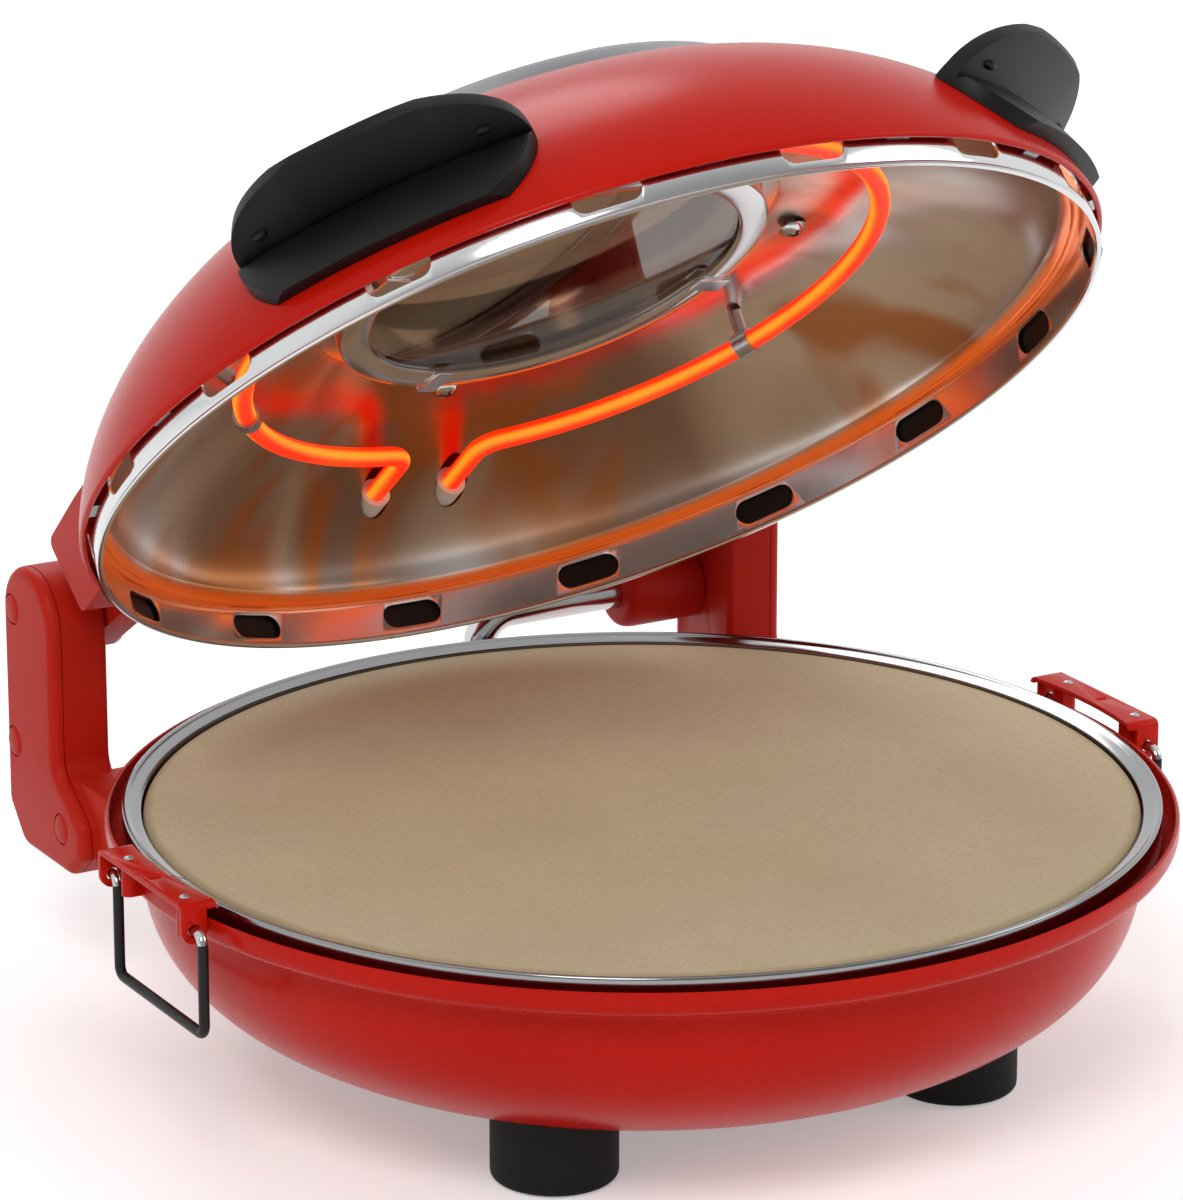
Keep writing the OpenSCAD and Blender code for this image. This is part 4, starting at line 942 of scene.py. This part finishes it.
class OVEN_OT_control_box(bpy.types.Operator):
    """Control box on the back, with its knob, lamp, cord gland and screws."""

    bl_idname = "oven.control_box"
    bl_label = "Control box"

    half, back, wall, low, high = 46.0, 178.0, 2.4, 36.0, 71.0
    knob_x, knob_z, knob_gap, knob_radius = 24.0, 53.5, 1.2, 15.0

    def outline(self, inset):
        """Front view of the box as (x, z) corners."""
        x, low, high = self.half - inset, self.low + inset, self.high - inset
        return rounded([(-x, low), (x, low), (x, high), (-x, high)], [6 - inset] * 4, 6)

    def execute(self, context):
        back, x, z = self.back, self.knob_x, self.knob_z
        lamp_place, gland_place = (0, z + 6), (-x, z)
        box = prism("box", self.outline(0), (126, back), "XZ")
        hollow = prism("hollow", self.outline(self.wall), (120, back - self.wall), "XZ")
        cut(box, hollow, bowl_body(context.scene.oven_base, 0.15, 2))
        holes = ((3.4, (x, z)), (3.6, lamp_place), (6.1, gland_place))
        cut(box, *[rod("hole", radius, 170, 185, spot, "Y") for radius, spot in holes])
        cut(box, rod("conduit_hole", CONDUIT_HOLE, self.high - 5, self.high + 5, CONDUIT_DROP))
        for i in range(7):
            a = -13 + 26 * i / 6
            louvre = rounded([(a - 1, 41), (a + 1, 41), (a + 1, 50), (a - 1, 50)], [0.9] * 4, 3)
            cut(box, prism("louvre", louvre, (170, 185), "XZ"))
        round_edges(box, 0.7, 3, 50, 40)
        dress(box, "Red moulded ABS", "base", "red_plastic", "control_box")

        head = [(0, 1.5), (1.6, 1.35), (2.7, 0.8), (3.1, 0), (3.1, -0.2), (0, -0.2)]
        corners = [(a, b) for a in (-39.0, 39.0) for b in (43.0, 64.0)]
        screws = [place(cross_head(head, 40, 0.45, 1.9, 0.7, 3), (a, back, b), (-90, 0, 0)) for a, b in corners]
        dress(soft_shade(join("box_screws", *screws), 30), "Plated steel fittings", "base", "steel")

        ticks = []
        for i in range(11):
            tick = block("tick", (17.2, -0.35, 0), (19.4 if i % 2 else 20.4, 0.35, 0.12))
            tick = place(tick, rotation=(0, 0, 225 - 27 * i))
            ticks.append(face_outwards(place(tick, (x, back, z), (90, 0, 180))))
        dress(join("dial_marks", *ticks), "White marking", "base", "black_plastic")

        lamp = [(0, 2.8), (1.6, 2.65), (3.0, 2.3), (4.2, 1.7), (4.9, 0.7), (5.0, 0), (3.5, 0), (3.5, -8), (0, -8)]
        lamp = place(turned("lamp", lamp, 48, axis="Y"), (0, back, z + 6))
        dress(lamp, "Amber lamp lens", "base", "lamp", "pilot_lamp")
        gland = [(3.4, -5.4), (6, -5.4), (6, 0), (8.5, 0), (8.5, 2.2), (8.1, 2.7), (7.4, 3.0), (7.2, 4.2), (7.3, 4.6)]
        gland += [(6.9, 5.0), (6.5, 6.2), (6.6, 6.6), (6.2, 7.0), (5.6, 8), (3.4, 8), (3.4, -5.4)]
        gland = place(turned("gland", gland, 48, axis="Y"), (-x, back, z))
        dress(gland, "Rubber feet", "base", "rubber", "cord_gland")

        r = self.knob_radius
        knob = [(0, 14), (r - 5, 14), (r - 3.6, 13.6), (r - 2.8, 12.6), (r - 1.5, 4.6), (r - 0.9, 4.0), (r - 0.2, 3.6)]
        knob += [(r, 3.0), (r, 0.3), (r - 0.3, 0), (r - 2, 0), (3, 0), (3, -9), (0, -9)]
        knob = turned("knob", knob, 72)
        cut(knob, *[rod("flute", 1.6, 4.4, 20, polar(r - 0.5, a), vertices=24) for a in range(0, 360, 30)])
        pointer = round_edges(block("pointer", (-1.1, -r + 3.6, 13.2), (1.1, 0, 14.7)), 0.4, 2)
        stand = (x, back + self.knob_gap, z)
        knob = soft_shade(place(join("knob_cap", knob, pointer), stand, (-90, 0, 0)), 35)
        dress(knob, "Black nylon", "knob", "black_plastic", "thermostat_knob")
        line = place(block("line", (-0.35, -r + 4.4, 14.69), (0.35, -2, 14.76)), stand, (-90, 0, 0))
        dress(line, "White marking", "knob", "black_plastic").name = "knob_pointer_line"
        return {"FINISHED"}


class OVEN_OT_lower_element(bpy.types.Operator):
    """Heating tube under the stone."""

    bl_idname = "oven.lower_element"
    bl_label = "Lower heating tube"

    def execute(self, context):
        tube = wire("lower_tube", element_path(105.0, LOWER_TUBE_LEVEL, 157.5), TUBE_RADIUS)
        dress(tube, "Heating tube, lower", "base", "element", "lower_element")
        return {"FINISHED"}


# ---------------------------------------------------------------- lid


class OVEN_OT_lid_shell(bpy.types.Operator):
    """Enamelled lid shell with its window opening and rolled lip."""

    bl_idname = "oven.lid_shell"
    bl_label = "Lid shell"

    def execute(self, context):
        s = context.scene.oven_lid
        lip, hole, sheet = s.band_bottom + 8, s.glass_radius + 1.5, s.shell_sheet
        outer = dome_outline(s.shell_radius, s.shell_height, s.shell_base, hole, lip + 1.2, 64)
        r = outer[-1][0]
        roll = [(r + a, lip + b) for a, b in ((0.12, 0.5), (-0.1, 0), (-0.6, -0.35), (-1.3, -0.3), (-1.65, 0.1))]
        inner = dome_outline(s.shell_radius - sheet, s.shell_height - sheet, s.shell_base, hole, lip + 1.4, 48)
        shell = turned("lid_shell_enamel", outer + roll + inner[::-1] + outer[:1], 200)
        dress(open_lid(shell, s), "Red enamel", "lid", "red_paint", "lid_shell")
        return {"FINISHED"}


class OVEN_OT_band(bpy.types.Operator):
    """Polished band round the lid's mouth, with its vent slots and rolled lower edge."""

    bl_idname = "oven.band"
    bl_label = "Steel band"

    def execute(self, context):
        s = context.scene.oven_lid
        r, low, high = s.band_radius, s.band_bottom, s.band_bottom + s.band_height
        roll = [(-1.0, 1.6), (-1.75, 1.25), (-1.95, 0.7), (-1.6, 0.15), (-0.9, 0), (-0.2, 0.15), (0.05, 0.7)]
        profile = [(r + a, low + b) for a, b in roll + [(-0.2, 1.3), (0, 1.9), (0, 8.4), (-0.3, 9.4)]]
        band = turned("lid_band_polished", profile + [(r - 0.3, high), (r - 1.0, high), (r - 1.0, low + 1.6)], 224)
        slot_length, slot_height, level = 21.0, 8.2, low + 7.5
        half, end = (slot_length - slot_height) / 2, slot_height / 2
        slots = []
        for i in range(s.slots):
            outline = arc((half, level), end, -90, 90, 9) + arc((-half, level), end, 90, 270, 9)
            slot = prism("slot", outline, (r - 6, r + 6), "XZ")
            slots.append(place(slot, rotation=(0, 0, i * 360 / s.slots + 180)))
        cut(band, join("slots", *slots))
        round_edges(band, 0.22, 2, 60, 35)
        dress(open_lid(band, s), "Polished steel, lid", "lid", "chrome", "lid_band")

        # A dark strip behind the slots on the hinge side: painted shade that keeps the slots dark
        near, far, foot, head = r + 0.6, r + 1.1, low + 2.2, high - 0.6
        shade_strip = [(near, foot), (far, foot), (far, head), (near, head), (near, foot)]
        shade_strip = turned("painted_shade_strip", shade_strip, 100, 176, -26)
        dress(open_lid(shade_strip, s), "Black nylon", "lid", "black_plastic")
        return {"FINISHED"}


class OVEN_OT_reflector(bpy.types.Operator):
    """Polished reflector dome inside the lid, with the holes for the tube's leads and its screws."""

    bl_idname = "oven.reflector"
    bl_label = "Reflector"

    def execute(self, context):
        s = context.scene.oven_lid
        r, base, height, top = s.liner_radius, s.liner_base, s.liner_height, s.band_bottom + s.band_height
        flat_r, hole = s.glass_radius + 6, s.glass_radius - 5.7
        flat = dome_height(flat_r, r, height, base)
        profile = [(hole, flat - 1), (flat_r - 2.5, flat - 1.0), (flat_r - 1.0, flat - 1.15)]
        profile += dome_outline(r - 1, height - 1, base, flat_r, base + 0.6, 56)
        # A bright bead and a cove where the dome meets its flange
        profile += [(r + a, base - b) for a, b in ((0.1, 0.7), (0.9, 1.7), (1.9, 2.2), (2.9, 2.0), (3.4, 2.5))]
        profile += [(r + 4.0, top + 0.15), (r + 6.5, top + 0.1), (r + 6.5, top + 1.1), (r + 2.4, top + 1.1)]
        profile += [(r + 1.0, base + 0.2)] + dome_outline(r, height, base, flat_r, base + 0.8, 56)[::-1]
        profile += [(flat_r - 1.0, flat - 0.15), (flat_r - 2.5, flat), (hole, flat), (hole, flat - 1)]
        dome = turned("reflector_dome", profile, 200)
        leads = [rod("lead_hole", 5.8, r / 2, r, (x, UPPER_TUBE_LEVEL), "Y", 48) for x in (-LEAD_X, LEAD_X)]
        screws = [rod("screw_hole", 2.2, 100, 200, polar(SCREW_CIRCLE, a), vertices=32) for a in SCREW_ANGLES]
        dome = soft_shade(cut(dome, *leads, *screws), 40)
        dress(open_lid(dome, s), "Reflector dome, polished aluminium", "lid", "reflector", "lid_reflector")

        z = dome_height(SCREW_CIRCLE + 4.6, r - 1, height - 1, base) - 0.1
        head = [(0, -2.7), (1.7, -2.5), (3.2, -1.8), (4.2, -0.8), (4.5, 0), (2, 0), (2, 16), (0, 16)]
        head = cross_head([(a, z + b) for a, b in head], 48, 0.55, 2.5, z - 5, z - 1.3)
        place(head, (SCREW_CIRCLE, 0, 0))
        heads = soft_shade(round_about(head, "reflector_screw_heads", SCREW_ANGLES), 30)
        dress(open_lid(heads, s), "Bare steel wire", "lid", "steel", "lid_screws")
        return {"FINISHED"}


class OVEN_OT_window(bpy.types.Operator):
    """Window in the lid: bezel, two glasses, the sleeve between them and the inner ring with its clip tabs."""

    bl_idname = "oven.window"
    bl_label = "Window"

    def execute(self, context):
        s = context.scene.oven_lid
        dome = (s.shell_radius, s.shell_height, s.shell_base)
        g, bz = s.glass_radius, s.bezel_radius
        rim, pane = dome_height(bz, *dome), dome_height(g, *dome) - 2.6
        crown = [(bz, 0.15), (bz, 4.2), (bz - 0.3, 5.2), (bz - 1.0, 5.8), (bz - 2.0, 6.1), (g + 3.0, 7.1)]
        crown += [(g + 1.9, 7.15), (g + 0.9, 6.8), (g + 0.35, 6.1), (g + 0.2, 5.2)]
        crown = [(r, rim + z) for r, z in crown] + [(g + 0.2, pane - 4), (g + 1.3, pane - 4)]
        reach = [g + 1.3 + (bz - g - 1.3) * i / 8 for i in range(8)]
        under = [(r, dome_height(r, *dome) + 0.3) for r in reach]
        bezel = turned("window_bezel_polished", crown + under + crown[:1], 200)
        dress(open_lid(bezel, s), "Polished steel, bezel, painted dark reflection", "lid", "chrome", "window_bezel")

        top = [(0, 0), (g - 0.4, 0), (g, 0), (g, 3.3), (g - 0.25, 3.8), (g - 0.8, 4.1), (g / 2, 4.6), (0, 4.8)]
        glass = turned("window_glass_upper", [(r, pane + z) for r, z in top], 128)
        dress(open_lid(glass, s), "Window glass", "lid", "glass", "window_glass_top")

        flat = dome_height(g + 6, s.liner_radius, s.liner_height, s.liner_base)
        q = g - 2
        sleeve = [(q - 1.3, flat + 0.1), (g + 4, flat + 0.1), (g + 4, flat + 0.9), (q + 0.6, flat + 0.9)]
        sleeve += [(q - 0.3, flat + 1.8), (q - 0.3, pane - 0.1), (q - 1.3, pane - 0.1), (q - 1.3, flat + 0.1)]
        sleeve = turned("window_sleeve_steel", sleeve)
        dress(open_lid(sleeve, s), "Polished steel, lid", "lid", "steel", "window_sleeve")

        low, roof = flat - 12, flat - 1.1
        ring = [(g + 4.8, roof), (g + 4.8, roof - 0.8), (g + 4.4, roof - 1.1), (q + 1.0, roof - 1.1), (q, roof - 2.0)]
        ring += [(q, low + 1.0), (q - 0.4, low + 0.25), (q - 1.2, low), (q - 8.8, low), (q - 9.6, low + 0.4)]
        ring += [(q - 9.6, low + 1.2), (q - 1.6, low + 1.2), (q - 1.2, low + 1.8), (q - 1.2, roof), (g + 4.8, roof)]
        ring = turned("window_inner_ring", ring)
        tab = [(-11.5, -1), (1, -1), (1, 5), (-0.1, 5), (-0.1, 0.1), (-11.5, 0.1), (-11.5, -1)]
        tab = turned("tab", [(q + r, low + z) for r, z in tab], 6, 6, -3)
        tabs = round_about(round_edges(tab, 0.3, 2), "clip_tabs", (15, 105, 195, 285))
        ring = join("window_inner_ring", ring, tabs)
        dress(open_lid(ring, s), "Polished steel, lid", "lid", "chrome", "window_retainer")

        e, sole = q - 1.6, low + 1.4
        lens = [(0, sole), (e - 0.5, sole), (e, sole + 0.5), (e, sole + 3.5), (e - 0.5, sole + 4), (0, sole + 4)]
        lens = turned("window_glass_lower", lens, 128)
        dress(open_lid(lens, s), "Window glass", "lid", "glass", "window_glass_inner")
        return {"FINISHED"}


class OVEN_OT_upper_element(bpy.types.Operator):
    """Glowing heating tube inside the lid."""

    bl_idname = "oven.upper_element"
    bl_label = "Upper heating tube"

    def execute(self, context):
        s = context.scene.oven_lid
        tube = wire("upper_tube", element_path(104.0, UPPER_TUBE_LEVEL, s.liner_radius - 16), TUBE_RADIUS)
        dress(open_lid(tube, s), "Heating tube, upper", "lid", "element", "upper_element")
        return {"FINISHED"}


class OVEN_OT_handles(bpy.types.Operator):
    """Lid handles: a pad that hugs the shell and a wing that stands up from it."""

    bl_idname = "oven.handles"
    bl_label = "Lid handles"

    def execute(self, context):
        s = context.scene.oven_lid
        dome = R, H, B = s.shell_radius, s.shell_height, s.shell_base
        (root, foot), (tip, high), thick = (153.0, 128.0), (174.5, 139.0), 4.2
        low = dome_outline(R + 0.15, H + 0.15, B, dome_radius(foot - 1, *dome), B + 10, 20)
        out = dome_outline(R + 5, H + 5, B, dome_radius(foot - 6, R + 5, H + 5, B), B + 11, 20)
        wing = [(root + 3.6, foot - thick - 0.6), (root + 4.6, foot - thick + 0.2), (tip - 0.4, high - thick)]
        wing += [(tip, high - 2.2), (tip - 0.6, high - 0.7), (tip - 2.4, high - 0.3), (root + 2, foot + 1.2)]
        body = turned("handle", out[::-1] + wing + low + out[-1:], 60, 44, -22)
        # Both ends run out in one soft curve
        cut(body, ball(1, (150, 0, 122), (28.5, 48, 34), 128), operation="INTERSECT")
        round_edges(body, 1.7, 5, 40, 40)
        studs = []
        for angle in (-13, 13):
            stud = turned("stud", [(0, -1.6), (0.8, -1.5), (1.6, -1.0), (2.0, 0), (2.0, 1), (0, 1)], 32)
            place(stretched(stud, (0.8, 1.3, 1)), (162, 0, 126.6), (0, -33, 0))
            studs.append(place(stud, rotation=(0, 0, angle)))
        body = join("handle", body, *studs)
        for name, side in (("handle_left", -1), ("handle_right", 1)):
            handle = place(copy_of(body, name + "_moulding"), rotation=(0, 0, -90 + side * 45))
            dress(open_lid(handle, s), "Black nylon", "lid", "black_plastic", name)
        bpy.data.objects.remove(body)
        return {"FINISHED"}


class OVEN_OT_lid_arms(bpy.types.Operator):
    """Arms that join the lid to the hinge bolts."""

    bl_idname = "oven.lid_arms"
    bl_label = "Lid arms"

    def execute(self, context):
        s = context.scene.oven_lid
        y, z, x0, x1 = s.hinge_y, s.hinge_z, 103.65, 115.25
        hub = rod("hub", 7, x0, x1, (y, z), "X")
        blade = [(y, z + 7), (y, z - 7), (y - 38, z - 11.5), (y - 50, z - 8), (y - 50, z + 12), (y - 34, z + 15)]
        blade = prism("blade", blade, (x0, x1), "YZ")
        foot = [(y - 36.5, z + 17), (y - 44, z - 12), (y - 95, z - 12), (y - 95, z + 19), (y - 66, z + 19)]
        foot = prism("foot", rounded(foot, [3, 3, 1, 1, 6], 4), (x0, 131.7), "YZ")
        cut(hub, blade, foot, operation="UNION")
        R, H, B = s.shell_radius + 0.1, s.shell_height + 0.1, s.shell_base
        shell = [(0, B - 30), (R, B - 30)] + dome_outline(R, H, B, 4, B + 0.2, 60)[::-1] + [(0, B + H)]
        cut(hub, rod("bore", BOLT_HOLE, 100, 120, (y, z), "X"), turned("shell_body", shell, 200))
        round_edges(hub, 0.9, 3, 40, 40)
        left = soft_shade(mirrored(hub, "lid_arm_moulding_left"), 40)
        named(hub, "lid_arm_moulding_right")
        dress(open_lid(hub, s), "Red moulded ABS", "lid", "red_plastic", "lid_arm_right")
        dress(open_lid(left, s), "Red moulded ABS", "lid", "red_plastic", "lid_arm_left")
        return {"FINISHED"}


# ---------------------------------------------------------------- stage


def seen_by(tree, *rays):
    """1 for rays of these kinds, and 0 for the others."""
    kinds = add(tree, "ShaderNodeLightPath").outputs
    value = kinds[rays[0]]
    for ray in rays[1:]:
        value = sums(tree, "MAXIMUM", value, kinds[ray])
    return value


def stand(name, data, spot, target):
    """Adds a lamp or camera that stands at a spot and looks at a target."""
    obj = bpy.data.objects.new(name, data)
    bpy.context.scene.collection.objects.link(obj)
    obj.location = spot
    obj.rotation_euler = (Vector(target) - Vector(spot)).to_track_quat("-Z", "Y").to_euler()
    return obj


class OVEN_OT_stage(bpy.types.Operator):
    """Pale floor, soft lights and the camera."""

    bl_idname = "oven.stage"
    bl_label = "Stage"

    def execute(self, context):
        scene = context.scene
        bpy.ops.object.select_all(action="DESELECT")
        bpy.ops.mesh.primitive_plane_add(size=14, location=(0, 0, -0.0004))
        floor = bpy.context.object
        floor.name = "studio_floor"
        # Matt white paper that glows a little for the camera, so that it runs into the backdrop
        material = blank("Studio floor")
        tree = material.node_tree
        matt = add(tree, "ShaderNodeBsdfDiffuse", {"Color": linear("#FAFAFA")})
        seen = seen_by(tree, "Is Camera Ray", "Is Glossy Ray", "Is Transmission Ray")
        glow = {"Color": (1, 1, 1, 1), "Strength": sums(tree, "MULTIPLY", seen, 0.33)}
        lift = add(tree, "ShaderNodeEmission", glow)
        both = add(tree, "ShaderNodeAddShader", {0: matt.outputs[0], 1: lift.outputs[0]})
        add(tree, "ShaderNodeOutputMaterial", {"Surface": both.outputs[0]})
        floor.data.materials.append(material)

        world = bpy.data.worlds.new("Studio")
        scene.world = world
        world.use_nodes = True
        tree = world.node_tree
        tree.nodes.clear()
        plain = ranged(tree, seen_by(tree, "Is Camera Ray", "Is Transmission Ray"), 0.5, 1.0)
        # Polished metal sees the white backdrop, and a dimmer room in front of the oven
        way = add(tree, "ShaderNodeSeparateXYZ", {"Vector": add(tree, "ShaderNodeTexCoord").outputs["Generated"]})
        room = ranged(tree, way.outputs["Y"], 0.36, 1.0, -0.75, 0.1, smooth=True)
        levels = {"Factor": seen_by(tree, "Is Glossy Ray"), "A": plain, "B": room}
        level = add(tree, "ShaderNodeMix", levels, data_type="FLOAT").outputs[0]
        sky = add(tree, "ShaderNodeBackground", {"Color": (1, 1, 1, 1), "Strength": level})
        add(tree, "ShaderNodeOutputWorld", {"Surface": sky.outputs[0]})

        for name, spot, size, power in (
            ("key", (-1.3, -1.5, 2.0), 1.1, 24),
            ("fill", (1.9, -1.0, 1.3), 1.4, 11),
            ("rear", (0.4, 1.9, 1.8), 1.2, 13),
        ):
            lamp = bpy.data.lights.new(name, "AREA")
            lamp.shape, lamp.size, lamp.energy = "DISK", size, power
            stand(name, lamp, spot, LIGHT_AIM)
        lens = bpy.data.cameras.new("photo_view")
        lens.lens, lens.sensor_width, lens.clip_end = CAMERA_LENS, 36, 50
        scene.camera = stand("photo_view", lens, CAMERA_PLACE, CAMERA_AIM)
        scene.view_settings.view_transform = "Standard"
        return {"FINISHED"}


class OVEN_PT_panel(bpy.types.Panel):
    """Lists the oven's pieces and sizes."""

    bl_idname = "OVEN_PT_panel"
    bl_label = "Pizza maker"
    bl_space_type = "VIEW_3D"
    bl_region_type = "UI"
    bl_category = "Oven"

    def draw(self, context):
        for operator in OPERATORS:
            self.layout.operator(operator.bl_idname)
        for group in (context.scene.oven_base, context.scene.oven_lid, context.scene.oven_colours):
            for key in group.bl_rna.properties.keys():
                if key not in ("rna_type", "name"):
                    self.layout.prop(group, key)


OPERATORS = (
    OVEN_OT_finishes,
    OVEN_OT_bowl,
    OVEN_OT_ring_and_stone,
    OVEN_OT_feet,
    OVEN_OT_brackets,
    OVEN_OT_hinge_arms,
    OVEN_OT_control_box,
    OVEN_OT_lower_element,
    OVEN_OT_lid_shell,
    OVEN_OT_band,
    OVEN_OT_reflector,
    OVEN_OT_window,
    OVEN_OT_upper_element,
    OVEN_OT_handles,
    OVEN_OT_lid_arms,
    OVEN_OT_stage,
)
GROUPS = (("oven_base", OvenBaseSizes), ("oven_lid", OvenLidSizes), ("oven_colours", OvenColours))


def register():
    for name, group in GROUPS:
        bpy.utils.register_class(group)
        setattr(bpy.types.Scene, name, bpy.props.PointerProperty(type=group))
    for cls in OPERATORS + (OVEN_PT_panel,):
        bpy.utils.register_class(cls)


def unregister():
    for cls in reversed(OPERATORS + (OVEN_PT_panel,)):
        bpy.utils.unregister_class(cls)
    for name, group in reversed(GROUPS):
        delattr(bpy.types.Scene, name)
        bpy.utils.unregister_class(group)


def main():
    register()
    for operator in OPERATORS:
        group, name = operator.bl_idname.split(".")
        getattr(getattr(bpy.ops, group), name)()


if __name__ == "__main__":
    main()
